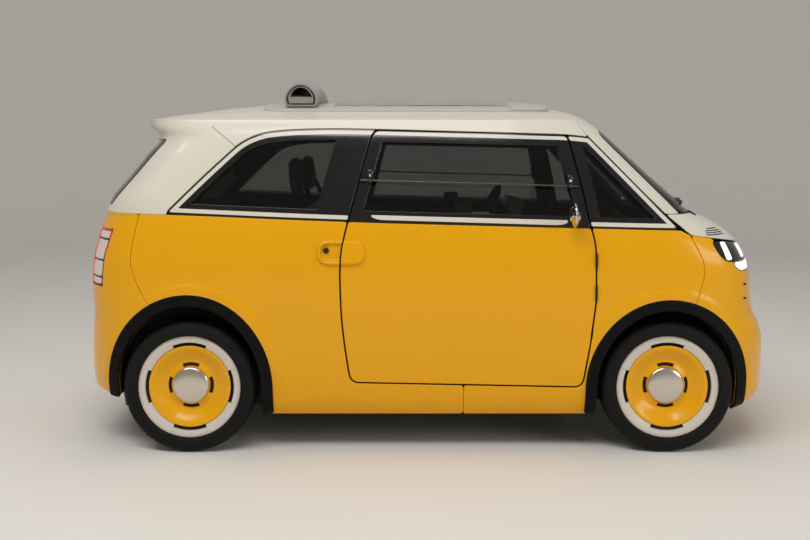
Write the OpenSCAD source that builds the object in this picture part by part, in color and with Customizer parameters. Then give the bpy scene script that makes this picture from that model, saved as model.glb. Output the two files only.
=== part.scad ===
// Two-door four-seat city car. X points forward, Y to the left, Z up; the origin lies on the road
// under the middle of the car.

/* [Body] */
// Length of the body over its bumpers
body_len = 3010; // [2900:10:3200]
// Width of the body at its widest
body_w = 1420; // [1390:5:1480]
// Height of the roof above the road
body_h = 1471; // [1440:1:1520]
// Thickness of a body wall or door
wall = 45; // [38:1:50]
// Thickness of the outer layer of a door
door_skin = 15; // [10:1:20]
// How far the inner layer of a door stands back from its edge
door_inset = 16; // [12:1:24]
// Gap round a door or the tailgate
door_gap = 6; // [5:0.5:8]
// Radius of the corners of a door
door_corner = 40; // [20:1:60]
// Seam between two fixed panels
seam = 0.6; // [0.3:0.1:0.9]
// Space between a piece and its seat
seat_gap = 0.3; // [0.2:0.1:0.5]

/* [Windows] */
// Thickness of the glass
glass_t = 8; // [5:0.5:12]
// How far the side glass stands back from the skin
glass_back = 6; // [2:0.5:12]
// Width of a side window's frame
frame_w = 48; // [36:1:60]
// Width of the pillar behind the door
pillar_w = 95; // [60:1:120]
// Radius of the corners of the side glass
pane_corner = 30; // [10:1:50]
// Thickness of the tailgate
tailgate_t = 24; // [18:1:30]

/* [Wheels] */
// Distance from a wheel centre to the end of the body
overhang = 505; // [485:5:525]
// How far the middle plane of a tyre stands in from the widest part of the body
tyre_in = 102; // [95:1:110]
// Outside diameter of a tyre
tyre_d = 556; // [540:2:566]
// Width of a tyre
tyre_w = 145; // [135:1:155]
// Diameter of the rim under the tyre
rim_d = 430; // [410:2:440]
// Diameter of the dished cover
cover_d = 344; // [320:2:360]
// Diameter of the hub cap
cap_d = 152; // [130:2:170]
// Radius of a wheel spindle
spindle_r = 15; // [12:0.5:20]
// Radius of a kingpin
kingpin_r = 10; // [8:0.5:14]
// Running clearance of a pin in its bore, all round
run_gap = 0.05; // [0.02:0.01:0.1]

/* [Arches] */
// Half width of the front arch opening at hub height
front_arch_w = 295; // [290:1:310]
// Height of the front arch opening above the hub
front_arch_h = 324; // [310:1:345]
// Half width of the rear arch opening at hub height
rear_arch_w = 301; // [290:1:315]
// Height of the rear arch opening above the hub
rear_arch_h = 345; // [320:1:360]
// Width of the black trim round an arch
trim_w = 48; // [30:1:60]
// How far the trim stands proud of the body
trim_proud = 10; // [5:1:16]
// Thickness of a wheel-arch liner
liner_t = 8; // [5:1:12]

/* [Cabin] */
// Height of the floor's underside above the road
ground_clear = 160; // [140:5:190]
// Thickness of the floor and the firewall
floor_t = 30; // [20:1:40]
// Room between a front seat and the wall beside it
seat_side = 130; // [100:5:160]
// Room between the two front seats
seat_mid = 130; // [100:5:160]
// Height of a front seat's cushion top above the road
seat_h = 560; // [520:5:600]
// Diameter of the steering wheel
steer_d = 360; // [330:5:380]
// Thickness of the steering wheel's rim
steer_rim = 30; // [24:1:36]

/* [Roof] */
// Radius of the rolled canvas
roll_r = 74; // [60:1:80]
// Height of the middle of the roll above its flat underside
roll_mid = 34; // [26:1:40]
// Thickness of the pad under the roll
pad_t = 10; // [6:1:14]
// Extra height of the deflector at the pad's front
deflector_h = 8; // [4:1:14]

/* [Hidden] */

$fn = 20;
arch_sides = 14;
half_len = body_len / 2;
half_w = body_w / 2;
over = 20;
wide = 2 * body_w;
axle_x = half_len - overhang;
hub_z = tyre_d / 2;
tyre_y = half_w - tyre_in;
seat_w = half_w - wall - seat_side - seat_mid / 2;
seat_y = seat_mid / 2 + seat_w / 2;

// A share of half the length as a place along the car: a longer body grows between its arches
axle_share = 0.66445;
middle_share = 0.4685;
end_len = overhang / (1 - axle_share);
function px(s) = sign(s) * (abs(s) < middle_share
    ? abs(s) / middle_share * (half_len - (1 - middle_share) * end_len)
    : half_len - (1 - abs(s)) * end_len);

// Plan rings of the body from the sill to the roof: height, rear end, front end, width, squareness of
// the ends, squareness of the sides, and how far the wall leans over into the roof
ring_shares = [
    [0.103, 0.963, 0.927, 0.873, 12, 2.8, 0],
    [0.136, 0.986, 0.990, 0.918, 12, 2.8, 0],
    [0.172, 0.995, 0.999, 0.941, 12, 2.8, 0],
    [0.224, 1.000, 1.000, 0.961, 12, 2.8, 0],
    [0.294, 0.999, 1.000, 0.977, 12, 2.8, 0],
    [0.346, 0.996, 0.989, 0.987, 12, 2.8, 0],
    [0.386, 0.993, 0.970, 0.993, 12, 2.8, 0],
    [0.479, 0.997, 0.959, 1.000, 12, 2.8, 0],
    [0.531, 0.993, 0.950, 0.999, 12, 2.8, 0],
    [0.564, 0.989, 0.938, 0.995, 12, 2.8, 0],
    [0.589, 0.982, 0.922, 0.989, 12, 2.8, 0],
    [0.621, 0.973, 0.890, 0.982, 12, 2.8, 0],
    [0.670, 0.953, 0.803, 0.963, 12, 2.9, 0],
    [0.683, 0.948, 0.773, 0.956, 13, 3, 0],
    [0.721, 0.932, 0.732, 0.935, 14, 3, 0],
    [0.850, 0.830, 0.593, 0.858, 14, 3, 0],
    [0.899, 0.792, 0.541, 0.827, 14, 3, 0.10],
    [0.923, 0.815, 0.514, 0.808, 14, 3, 0.25],
    [0.948, 0.834, 0.480, 0.789, 13, 3, 0.50],
    [0.962, 0.767, 0.4585, 0.676, 12, 3, 0.75],
    [0.977, 0.675, 0.425, 0.535, 9, 2.8, 0.85],
    [0.988, 0.603, 0.372, 0.394, 8, 2.7, 0.92],
    [0.995, 0.5435, 0.312, 0.254, 7, 2.6, 1],
    [0.9993, 0.510, 0.2525, 0.127, 6, 2.5, 1],
    [1.000, 0.492, 0.226, 0.056, 6, 2.4, 1]];
// Rear end of the cabin under the spoiler
notch_share = 0.792;
// Angles of the points on a quarter of a ring
turn_shares = [0, 0.20, 0.38, 0.55, 0.70, 0.83, 0.94];

// Outlines seen from the right side: X as a share of half the length, Z as a share of the height
waist_shares = [[-1.07, 0.683], [-0.73, 0.682], [-0.26, 0.6608], [0.697, 0.636], [0.72, 0.622],
    [0.83, 0.607], [0.9215, 0.587], [1.07, 0.57]];
rear_shut_shares = [[-0.797, 0.75], [-0.799, 0.691], [-0.814, 0.623], [-0.8226, 0.566],
    [-0.8226, 0.535], [-0.806, 0.487], [-0.778, 0.433], [-0.664, 0.34]];
front_shut_shares = [[0.714, 0.6526], [0.725, 0.615], [0.7475, 0.571], [0.760, 0.538],
    [0.760, 0.506], [0.7375, 0.430], [0.664, 0.326]];
door_shares = [[-0.151, 0.918], [-0.174, 0.843], [-0.191, 0.773], [-0.221, 0.659], [-0.238, 0.585],
    [-0.2425, 0.517], [-0.238, 0.381], [-0.2246, 0.272], [-0.214, 0.2046], [0.425, 0.191],
    [0.444, 0.3175], [0.456, 0.415], [0.458, 0.440], [0.458, 0.571], [0.4545, 0.605],
    [0.4435, 0.648], [0.417, 0.782], [0.388, 0.9055]];
window_shares = [[-0.73, 0.682], [-0.6266, 0.7886], [-0.525, 0.886], [-0.4684, 0.9116],
    [-0.395, 0.9205], [-0.28, 0.924], [-0.153, 0.922], [0.388, 0.907], [0.453, 0.900],
    [0.699, 0.635], [0.697, 0.636], [-0.26, 0.6608]];
pillar_rear_shares = [[0.40, 1.05], [0.418, 0.959], [0.432, 0.925], [0.453, 0.900], [0.76, 0.569]];
screen_shares = [[0.4725, 0.9245], [0.7045, 0.680], [1.07, 0.680], [1.07, 0.9245]];
cowl_top_share = 0.680;
sill_seam_share = 0.098;
// Headlamp from the side, tail lamp and tailgate from behind
headlamp_shares = [[0.774, 0.604], [0.80, 0.560], [0.82, 0.532], [0.845, 0.513], [1.07, 0.513],
    [1.07, 0.604]];
headlamp_in_share = 0.47;
lamp_bar_shares = [[[0.801, 0.61], [0.820, 0.61], [0.842, 0.553], [0.822, 0.553]],
    [[0.857, 0.61], [0.874, 0.61], [0.893, 0.553], [0.874, 0.553]],
    [[0.833, 0.547], [0.95, 0.547], [0.95, 0.528], [0.846, 0.528]]];
lens_back = 6;
tail_lamp_low_share = 0.471;
tail_lamp_high_share = 0.636;
tail_lamp_in_share = 0.62;
tail_lamp_out_share = 0.86;
tailgate_shares = [[0.66, 0.708], [0.685, 0.722], [0.615, 0.878], [0.585, 0.890]];
// Louvres in the sides of the cowl: rear end, front end, height
louvre_shares = [[0.776, 0.812, 0.6355], [0.771, 0.822, 0.630], [0.770, 0.830, 0.6245],
    [0.772, 0.834, 0.619]];
louvre_in_share = 0.66;
louvre_h = 3.5;
// Pad of the door handle
handle_x_share = -0.2405;
handle_z_share = 0.579;
handle_len = 200;
handle_h = 109;
handle_proud = 8;

// Places of the chassis pieces along the car
firewall_share = 0.425;
kickup_share = -0.425;
firewall_top_share = 0.60;
boot_z = 345;
rail_y_share = 0.4;
rail_y = half_w * rail_y_share;
rail_w = 50;
rail_h = 50;
beam_w = 50;
liner_front_room = 223;
liner_rear_room = 128;
liner_in_front = tyre_y - liner_front_room;
liner_in_rear = tyre_y - liner_rear_room;
battery_h = 110;
battery_l = 960;
battery_x_share = -0.08;
battery_w_share = 0.634;
battery_w = body_w * battery_w_share;
motor_l = 300;
motor_w_share = 0.436;
motor_w = body_w * motor_w_share;
motor_h = 200;

// Hinges
hinge_r = 5;
hinge_pin_r = 2.5;
hinge_len = 40;
hinge_foot = 20;
hinge_leaf_t = 3.6;
hinge_leaf_in = 34;
hinge_low_share = 0.455;
hinge_high_share = 0.545;
gate_hinge_y_share = 0.296;
gate_hinge_y = half_w * gate_hinge_y_share;

function share_points(s) = [for (p = s) [px(p[0]), p[1] * body_h]];
function spow(v, e) = sign(v) * pow(abs(v), e);
function turn_angles() = let (q = [for (t = turn_shares) t * 90], m = len(q) - 1) concat(
    q, [for (i = [m:-1:0]) 180 - q[i]], [for (i = [1:m]) 180 + q[i]], [for (i = [m:-1:1]) 360 - q[i]]);
function ring_rear(r, off) = px((r[6] > 0 && off > 0) ? min(r[1], notch_share) : r[1]);
function ring_mid(r, off) = (px(r[2]) - ring_rear(r, off)) / 2;
function ring_reach(r, off) = (px(r[2]) + ring_rear(r, off)) / 2 - off * (1 - r[6]);
function ring_width(r, off) = half_w * r[3] - off * (1 - r[6]);
function ring_z(i, off) = body_h * ring_shares[i][0] - off * ring_shares[i][6] - (i == 0 ? max(off, 0) : 0);
function ring_points(i, off) = let (r = ring_shares[i]) [for (a = turn_angles())
    [ring_mid(r, off) + ring_reach(r, off) * spow(cos(a), 2 / r[4]),
     ring_width(r, off) * spow(sin(a), 2 / r[5]), ring_z(i, off)]];
// Half width of the skin at a height, away from the rounded ends
flat_share = pow(sin(90 * turn_shares[len(turn_shares) - 1]), 2 / 3);
function skin_y(z) = flat_share * half_w * lookup(z / body_h, [for (r = ring_shares) [r[0], r[3]]]);
function skin_rear(z) = px(lookup(z / body_h, [for (r = ring_shares) [r[0], r[1]]]));
function skin_front(z) = px(lookup(z / body_h, [for (r = ring_shares) [r[0], r[2]]]));

// The body's form as one solid, with its surface moved inwards by off
module body_form(off) {
    n = len(turn_angles());
    m = len(ring_shares);
    points = [for (i = [0:m - 1]) each ring_points(i, off)];
    sides = [for (i = [0:m - 2], j = [0:n - 1]) let (a = i * n + j, b = i * n + (j + 1) % n)
        each [[a, a + n, b + n], [a, b + n, b]]];
    polyhedron(points, concat([[for (j = [0:n - 1]) j]], sides,
        [[for (j = [n - 1:-1:0]) (m - 1) * n + j]]), convexity = 10);
}

// The layer between two depths below the skin
module layer(from, to) {
    difference() {
        body_form(from);
        body_form(to);
    }
}

// Joins its children into one mesh: a size of zero keeps each side as it is
module one_mesh() {
    resize([0, 0, 0]) children();
}

// A side outline carried right across the car, or across its right half only
module across() {
    rotate([90, 0, 0]) linear_extrude(wide, center = true, convexity = 10) children();
}
module right_half() {
    rotate([90, 0, 0]) linear_extrude(wide, convexity = 10) children();
}
// A rear outline carried along the rear of the car
module along_rear() {
    rotate([90, 0, -90]) translate([0, 0, half_len / 2]) linear_extrude(half_len, convexity = 10)
        children();
}
module both_sides() {
    children();
    mirror([0, 1, 0]) children();
}
module side(s) {
    if (s < 0) children();
    else mirror([0, 1, 0]) children();
}

// Side outlines
module below_waist() {
    polygon(concat(share_points(waist_shares), [[wide, -over], [-wide, -over]]));
}
module behind_rear_shut() {
    polygon(concat(share_points(rear_shut_shares), [[-axle_x, 0], [-wide, 0], [-wide, body_h]]));
}
module ahead_of_front_shut() {
    polygon(concat(share_points(front_shut_shares),
        [[axle_x, 0], [wide, 0], [wide, body_h * front_shut_shares[0][1]]]));
}
module door_outline() {
    offset(r = door_corner) offset(delta = -door_corner) polygon(share_points(door_shares));
}
module door_opening() {
    offset(delta = door_gap) door_outline();
}
module arch(w, h) {
    polygon(concat([for (i = [0:arch_sides]) let (a = i * 180 / arch_sides) [w * cos(a), h * sin(a)]],
        [[-w, -hub_z - over], [w, -hub_z - over]]));
}
module front_arch(grow) {
    translate([axle_x, hub_z]) arch(front_arch_w + grow, front_arch_h + grow);
}
module rear_arch(grow) {
    translate([-axle_x, hub_z]) arch(rear_arch_w + grow, rear_arch_h + grow);
}
module handle_pad() {
    translate([px(handle_x_share), handle_z_share * body_h]) hull() {
        for (s = [-1, 1]) translate([s * (handle_len - handle_h) / 2, 0]) circle(d = handle_h);
    }
}
module lamp_region() {
    polygon(share_points(headlamp_shares));
}
module window_band() {
    polygon(share_points(window_shares));
}
module ahead_of_pillar() {
    polygon(concat(share_points(pillar_rear_shares), [[wide, 0], [wide, 2 * body_h]]));
}
module screen_region() {
    polygon(share_points(screen_shares));
}
module cowl_region() {
    difference() {
        intersection() {
            ahead_of_pillar();
            translate([0, -over]) square([wide, cowl_top_share * body_h + over]);
        }
        below_waist();
    }
}
module rear_window_region() {
    difference() {
        intersection() {
            window_band();
            translate([-wide, 0]) square([wide, wide]);
        }
        door_opening();
    }
}
module front_window_region() {
    difference() {
        intersection() {
            window_band();
            square([wide, wide]);
        }
        door_opening();
    }
}
module pane(cut) {
    offset(r = pane_corner) offset(delta = -pane_corner - frame_w - cut) children();
}
module rear_pane(cut) {
    pane(cut) difference() {
        rear_window_region();
        offset(delta = pillar_w) door_outline();
    }
}
module front_pane(cut) {
    pane(cut) front_window_region();
}
module door_window(cut) {
    pane(cut) difference() {
        door_outline();
        below_waist();
    }
}
module tailgate_outline(grow) {
    right = [for (p = tailgate_shares) [p[0] * half_w, p[1] * body_h]];
    left = [for (i = [len(right) - 1:-1:0]) [-right[i][0], right[i][1]]];
    offset(delta = grow) polygon(concat(right, left));
}

// Panels fixed to the body
module panel(depth) {
    intersection() {
        layer(0, depth);
        across() offset(delta = -seam / 2) children();
    }
}
module right_panel(depth) {
    intersection() {
        layer(0, depth);
        right_half() offset(delta = -seam / 2) children();
    }
}
module handle_relief() {
    intersection() {
        layer(-handle_proud, handle_proud);
        right_half() children();
    }
}
module rear_quarter(s) {
    color("gold") one_mesh() side(s) {
        right_panel(wall) difference() {
            intersection() {
                below_waist();
                translate([-wide, -over]) square([wide + px(sill_seam_share), wide]);
            }
            behind_rear_shut();
            door_opening();
            rear_arch(0);
        }
        handle_relief() difference() {
            handle_pad();
            offset(delta = seam) door_opening();
        }
    }
}
module front_fender(s) {
    color("gold") one_mesh() side(s) right_panel(wall) difference() {
        intersection() {
            below_waist();
            translate([px(sill_seam_share), -over]) square([wide, wide]);
        }
        ahead_of_front_shut();
        door_opening();
        front_arch(0);
    }
}
module lamp_blocks(grow) {
    both_sides() translate([0, -headlamp_in_share * half_w + grow, 0]) right_half()
        offset(delta = grow) lamp_region();
}
module tail_blocks(grow) {
    for (s = [-1, 1]) along_rear() offset(delta = grow) polygon([for (c = [[0, 0], [1, 0], [1, 1], [0, 1]])
        [s * half_w * (c[0] == 0 ? tail_lamp_in_share : tail_lamp_out_share),
         body_h * (c[1] == 0 ? tail_lamp_low_share : tail_lamp_high_share)]]);
}
module front_fascia() {
    color("gold") one_mesh() difference() {
        panel(wall) difference() {
            intersection() {
                below_waist();
                ahead_of_front_shut();
            }
            front_arch(0);
        }
        lamp_blocks(seam);
        tow_axis(0) cylinder(r = tow_hole_r, h = wide);
    }
}
module rear_fascia() {
    color("gold") one_mesh() difference() {
        panel(wall) difference() {
            intersection() {
                below_waist();
                behind_rear_shut();
            }
            rear_arch(0);
        }
        tail_blocks(seam);
    }
}
module headlamps() {
    color("whitesmoke") one_mesh() intersection() {
        union() {
            layer(lens_back, wall);
            intersection() {
                layer(seat_gap, wall);
                across() for (b = lamp_bar_shares) polygon(share_points(b));
            }
        }
        across() ahead_of_front_shut();
        across() offset(delta = -seam) below_waist();
        lamp_blocks(0);
    }
}
module tail_lamps() {
    color("red") one_mesh() intersection() {
        layer(seat_gap, wall);
        across() offset(delta = -seam) behind_rear_shut();
        tail_blocks(0);
    }
}
module cowl() {
    color("linen") one_mesh() difference() {
        panel(wall) cowl_region();
        both_sides() for (v = louvre_shares)
            translate([px(v[0]), -wide - half_w * louvre_in_share, v[2] * body_h])
            cube([px(v[1]) - px(v[0]), wide, louvre_h]);
    }
}
module windscreen_frame() {
    color("linen") one_mesh() panel(wall) difference() {
        ahead_of_pillar();
        screen_region();
        below_waist();
        cowl_region();
    }
}
module windscreen() {
    color("black", 0.6) one_mesh() panel(glass_t) screen_region();
}
module roof_shell() {
    color("linen") one_mesh() difference() {
        panel(wall) difference() {
            translate([-wide, 0]) square([2 * wide, wide]);
            below_waist();
            window_band();
            ahead_of_pillar();
        }
        along_rear() tailgate_outline(door_gap);
    }
}
module window_frames() {
    color("black") one_mesh() both_sides() {
        right_panel(wall) difference() {
            rear_window_region();
            rear_pane(0);
        }
        right_panel(wall) difference() {
            front_window_region();
            front_pane(0);
        }
    }
}
module side_glass() {
    intersection() {
        layer(glass_back, glass_back + glass_t);
        right_half() children();
    }
}
module window_glass() {
    color("black", 0.6) one_mesh() both_sides() {
        side_glass() rear_pane(seat_gap);
        side_glass() front_pane(seat_gap);
    }
}
module arch_trims() {
    color("black") one_mesh() both_sides() intersection() {
        layer(-trim_proud, -seat_gap);
        right_half() {
            difference() {
                front_arch(trim_w);
                front_arch(0);
            }
            difference() {
                rear_arch(trim_w);
                rear_arch(0);
            }
        }
        translate([-wide, -wide, ground_clear]) cube([2 * wide, 2 * wide, body_h]);
    }
}

// Wheel-arch liners, each closed towards the middle of the car
module liner(inner) {
    intersection() {
        body_form(wall + seat_gap);
        union() {
            translate([0, -inner, 0]) right_half() difference() {
                children(1);
                children(0);
            }
            translate([0, -inner, 0]) rotate([90, 0, 0]) linear_extrude(liner_t) children(1);
        }
        translate([-wide, -wide, ground_clear]) cube([2 * wide, 2 * wide, body_h]);
    }
}
// Way for the axle through the liners
module axle_notch(x) {
    translate([x - beam_w / 2 - over, -wide / 2, 0])
        cube([beam_w + 2 * over, wide, hub_z + rail_h / 2 + over]);
}
module arch_liners() {
    color("dimgray") one_mesh() difference() {
        both_sides() {
            liner(liner_in_front) {
                front_arch(0);
                front_arch(liner_t);
            }
            liner(liner_in_rear) {
                rear_arch(0);
                rear_arch(liner_t);
            }
        }
        axle_notch(axle_x);
        axle_notch(-axle_x);
    }
}

// Floor, firewall and the raised floor over the rear axle, with four pads for a jack
jack_l = 90;
jack_w = 60;
jack_drop = 12;
jack_x_share = 0.3455;
jack_y_share = 0.732;
module jack_pads() {
    both_sides() for (u = [-1, 1])
        translate([u * px(jack_x_share), -half_w * jack_y_share, ground_clear - jack_drop])
        translate([-jack_l / 2, -jack_w / 2, 0]) cube([jack_l, jack_w, jack_drop + floor_t / 2]);
}
module floor_pan() {
    fx = px(firewall_share);
    kx = px(kickup_share);
    color("dimgray") one_mesh() difference() {
        union() {
            intersection() {
                body_form(wall + seat_gap);
                across() {
                    translate([kx, ground_clear]) square([fx - kx, floor_t]);
                    translate([fx, ground_clear])
                        square([floor_t, firewall_top_share * body_h - ground_clear]);
                    translate([kx - floor_t, ground_clear])
                        square([floor_t, boot_z + floor_t - ground_clear]);
                    translate([-wide, boot_z]) square([wide + kx, floor_t]);
                }
            }
            jack_pads();
        }
        both_sides() {
            translate([0, -liner_in_front + seat_gap, 0]) right_half() front_arch(liner_t + seat_gap);
            translate([0, -liner_in_rear + seat_gap, 0]) right_half() rear_arch(liner_t + seat_gap);
        }
    }
}
module battery_block() {
    color("slategray") translate([px(battery_x_share), 0, ground_clear + floor_t + battery_h / 2])
        cube([battery_l, battery_w, battery_h], center = true);
}
module motor_block() {
    color("slategray") translate([axle_x, 0, hub_z + rail_h / 2 + motor_h / 2])
        cube([motor_l, motor_w, motor_h], center = true);
}

// Front subframe: two rails from the firewall, and the axle beam with an eye at each end
eye_r = 20;
eye_h = 60;
eye_in = 32;
eye_y = tyre_y - eye_in;
yoke_t = 12;
yoke_gap = 0.5;
yoke_back = 22;
rail_front_share = 0.88;
// Threaded socket for the towing eye in the right rail, behind a hole in the front fascia
tow_r = 8;
tow_l = 60;
tow_hole_r = 20;
module tow_axis(x) {
    translate([x, -rail_y, hub_z]) rotate([0, 90, 0]) children();
}
module front_subframe() {
    fx = px(firewall_share) + floor_t;
    color("gray") difference() {
        union() {
            for (s = [-1, 1]) {
                translate([fx, s * rail_y - rail_w / 2, hub_z - rail_h / 2])
                    cube([px(rail_front_share) - fx, rail_w, rail_h]);
                translate([axle_x, s * eye_y, hub_z - eye_h / 2]) cylinder(r = eye_r, h = eye_h);
            }
            translate([axle_x - beam_w / 2, -eye_y, hub_z - rail_h / 2]) cube([beam_w, 2 * eye_y, rail_h]);
        }
        for (s = [-1, 1]) translate([axle_x, s * eye_y, 0]) cylinder(r = kingpin_r + run_gap, h = body_h);
        tow_axis(px(rail_front_share) - tow_l) cylinder(r = tow_r, h = tow_l + over);
    }
}
// Rear axle: a beam on two arms that reach back from the raised floor
module rear_axle() {
    kx = px(kickup_share) - floor_t;
    color("gray") {
        translate([-axle_x - beam_w / 2, -liner_in_rear + over, hub_z - rail_h / 2])
            cube([beam_w, 2 * (liner_in_rear - over), rail_h]);
        for (s = [-1, 1]) {
            translate([-axle_x, s * rail_y - rail_w / 2, hub_z - rail_h / 2])
                cube([axle_x + kx, rail_w, rail_h]);
            translate([-axle_x, s * (liner_in_rear - over), hub_z]) rotate([-90 * s, 0, 0])
                cylinder(r = spindle_r, h = spindle_end - liner_in_rear + over);
        }
    }
}
// Knuckle: a yoke over the axle's eye with its kingpin, and the spindle for the wheel
spindle_out = 30;
spindle_end = tyre_y + spindle_out;
module knuckle(s) {
    arm_z = eye_h / 2 + yoke_gap;
    color("gray") translate([axle_x, s * eye_y, hub_z]) {
        for (u = [0, 1]) mirror([0, 0, u]) {
            translate([0, 0, arm_z]) cylinder(r = eye_r, h = yoke_t);
            translate([-eye_r, s < 0 ? -yoke_back - yoke_t : 0, arm_z])
                cube([2 * eye_r, yoke_back + yoke_t, yoke_t]);
        }
        cylinder(r = kingpin_r, h = 2 * arm_z, center = true);
        translate([-eye_r, s < 0 ? -yoke_back - yoke_t : yoke_back, -arm_z - yoke_t])
            cube([2 * eye_r, yoke_t, 2 * (arm_z + yoke_t)]);
        rotate([-90 * s, 0, 0]) translate([0, 0, yoke_back])
            cylinder(r = spindle_r, h = spindle_end - eye_y - yoke_back);
    }
}

// Wheels, drawn round the Z axis with the outer side up
tyre_round = 34;
rim_wall = 24;
rim_in_r = rim_d / 2 - rim_wall;
rim_mid_r = rim_d / 2 - rim_wall / 2;
disc_t = 10;
disc_z = 40;
dish_deep = 26;
well_z = disc_z - dish_deep;
cap_h = 28;
hub_r = 46;
hub_in_z = 4;
slot_w = 14;
slot_turn = 44;
slot_edge = 3;
well_r = cap_d / 2 + slot_edge;
module wheel_place(x, s) {
    translate([x, s * tyre_y, hub_z]) rotate([-90 * s, 0, 0]) children();
}
module tyre(x, s) {
    color("black") wheel_place(x, s) rotate_extrude() difference() {
        translate([rim_d / 2, -tyre_w / 2]) square([tyre_d / 2 - rim_d / 2, tyre_w]);
        for (u = [-1, 1]) translate([tyre_d / 2, u * tyre_w / 2]) difference() {
            square(2 * tyre_round, center = true);
            translate([-tyre_round, -u * tyre_round]) circle(r = tyre_round);
        }
    }
}
module wheel(x, s) {
    color("gold") wheel_place(x, s) difference() {
        union() {
            rotate_extrude() translate([rim_in_r, -tyre_w / 2])
                square([rim_d / 2 - rim_in_r - seat_gap, tyre_w]);
            rotate_extrude() polygon([[0, well_z], [well_r, well_z], [cover_d / 2, disc_z],
                [rim_mid_r, tyre_w / 2 - disc_t], [rim_mid_r, disc_z - disc_t],
                [cover_d / 2, disc_z - disc_t], [well_r, well_z - disc_t], [0, well_z - disc_t]]);
            translate([0, 0, hub_in_z]) cylinder(r = hub_r, h = well_z - disc_t / 2 - hub_in_z);
            translate([0, 0, well_z - disc_t / 2]) cylinder(d = cap_d, h = cap_h);
        }
        for (q = [0:3]) {
            rotate([0, 0, q * 90 - slot_turn / 2]) rotate_extrude(angle = slot_turn)
                translate([cover_d / 2 + slot_edge, -tyre_w]) square([slot_w, 2 * tyre_w]);
            rotate([0, 0, q * 90 - slot_turn / 2]) rotate_extrude(angle = slot_turn)
                translate([well_r + slot_edge, -tyre_w]) square([slot_w, 2 * tyre_w]);
        }
        translate([0, 0, hub_in_z - over])
            cylinder(r = spindle_r + run_gap, h = spindle_out + seat_gap - hub_in_z + over);
    }
}

// Doors: the inner part of each stands back from the outer layer's edge
module door_piece() {
    difference() {
        intersection() {
            layer(0, wall);
            right_half() children();
        }
        intersection() {
            body_form(door_skin);
            right_half() difference() {
                offset(delta = over) door_outline();
                offset(delta = -door_inset) door_outline();
            }
        }
    }
}
module door_panel(s) {
    color("gold") one_mesh() side(s) {
        door_piece() intersection() {
            door_outline();
            offset(delta = -seam / 2) below_waist();
        }
        handle_relief() intersection() {
            handle_pad();
            offset(delta = -seam) door_outline();
        }
    }
}
module door_frame(s) {
    color("black") one_mesh() side(s) door_piece() difference() {
        door_outline();
        offset(delta = seam / 2) below_waist();
        door_window(0);
    }
}
module door_glass(s) {
    color("black", 0.6) one_mesh() side(s) side_glass() door_window(seat_gap);
}
// Bar across the window on two posts with knobs, and the round mirror on its arm
bar_r = 4;
bar_rear_share = -0.163;
bar_front_share = 0.392;
bar_z_share = 0.766;
bar_out = 16;
knob_r = 13;
knob_up = 24;
mirror_x_share = 0.395;
mirror_z_share = 0.683;
mirror_d = 108;
mirror_t = 50;
mirror_y_share = 1.06;
arm_r = 9;
module door_fittings(s) {
    bz = bar_z_share * body_h;
    by = skin_y(bz) + bar_out;
    mz = mirror_z_share * body_h;
    color("silver") side(s) {
        translate([px(bar_rear_share), -by, bz]) rotate([0, 90, 0])
            cylinder(r = bar_r, h = px(bar_front_share) - px(bar_rear_share));
        for (b = [bar_rear_share, bar_front_share]) translate([px(b), -by, bz]) {
            sphere(r = knob_r);
            translate([0, 0, knob_up]) sphere(r = knob_r);
            cylinder(r = bar_r, h = knob_up);
            rotate([-90, 0, 0]) cylinder(r = bar_r, h = bar_out - seat_gap - bar_r * slant_share);
        }
        translate([px(mirror_x_share), -mirror_y_share * half_w, mz]) {
            intersection() {
                for (u = [-1, 1])
                    translate([u * (mirror_ball - mirror_t / 2), 0, 0]) sphere(r = mirror_ball);
                rotate([0, 90, 0]) cylinder(d = mirror_d, h = mirror_t, center = true);
            }
            rotate([-90, 0, 0]) cylinder(r = arm_r,
                h = mirror_y_share * half_w - skin_y(mz) - seat_gap - arm_r * slant_share);
        }
    }
}
mirror_ball = (mirror_d * mirror_d / 4 + mirror_t * mirror_t / 4) / mirror_t;
// Slope of the side walls at the windows
slant_share = 0.3;

// Door hinges: two slim barrels in the gap at the door's front edge
hinge_x = px(door_shares[12][0]) + door_gap / 2;
hinge_y = half_w + hinge_r + seat_gap;
module door_hinges(s) {
    color("dimgray") side(s) for (h = [hinge_low_share, hinge_high_share])
        translate([hinge_x, -hinge_y, h * body_h]) difference() {
            union() {
                cylinder(r = hinge_r, h = hinge_len);
                translate([-door_gap / 2 + seat_gap, 0, 0]) cube([hinge_leaf_t, hinge_leaf_in, hinge_len]);
            }
            translate([0, 0, -over]) cylinder(r = hinge_pin_r + run_gap, h = hinge_len + 2 * over);
        }
}
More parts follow.
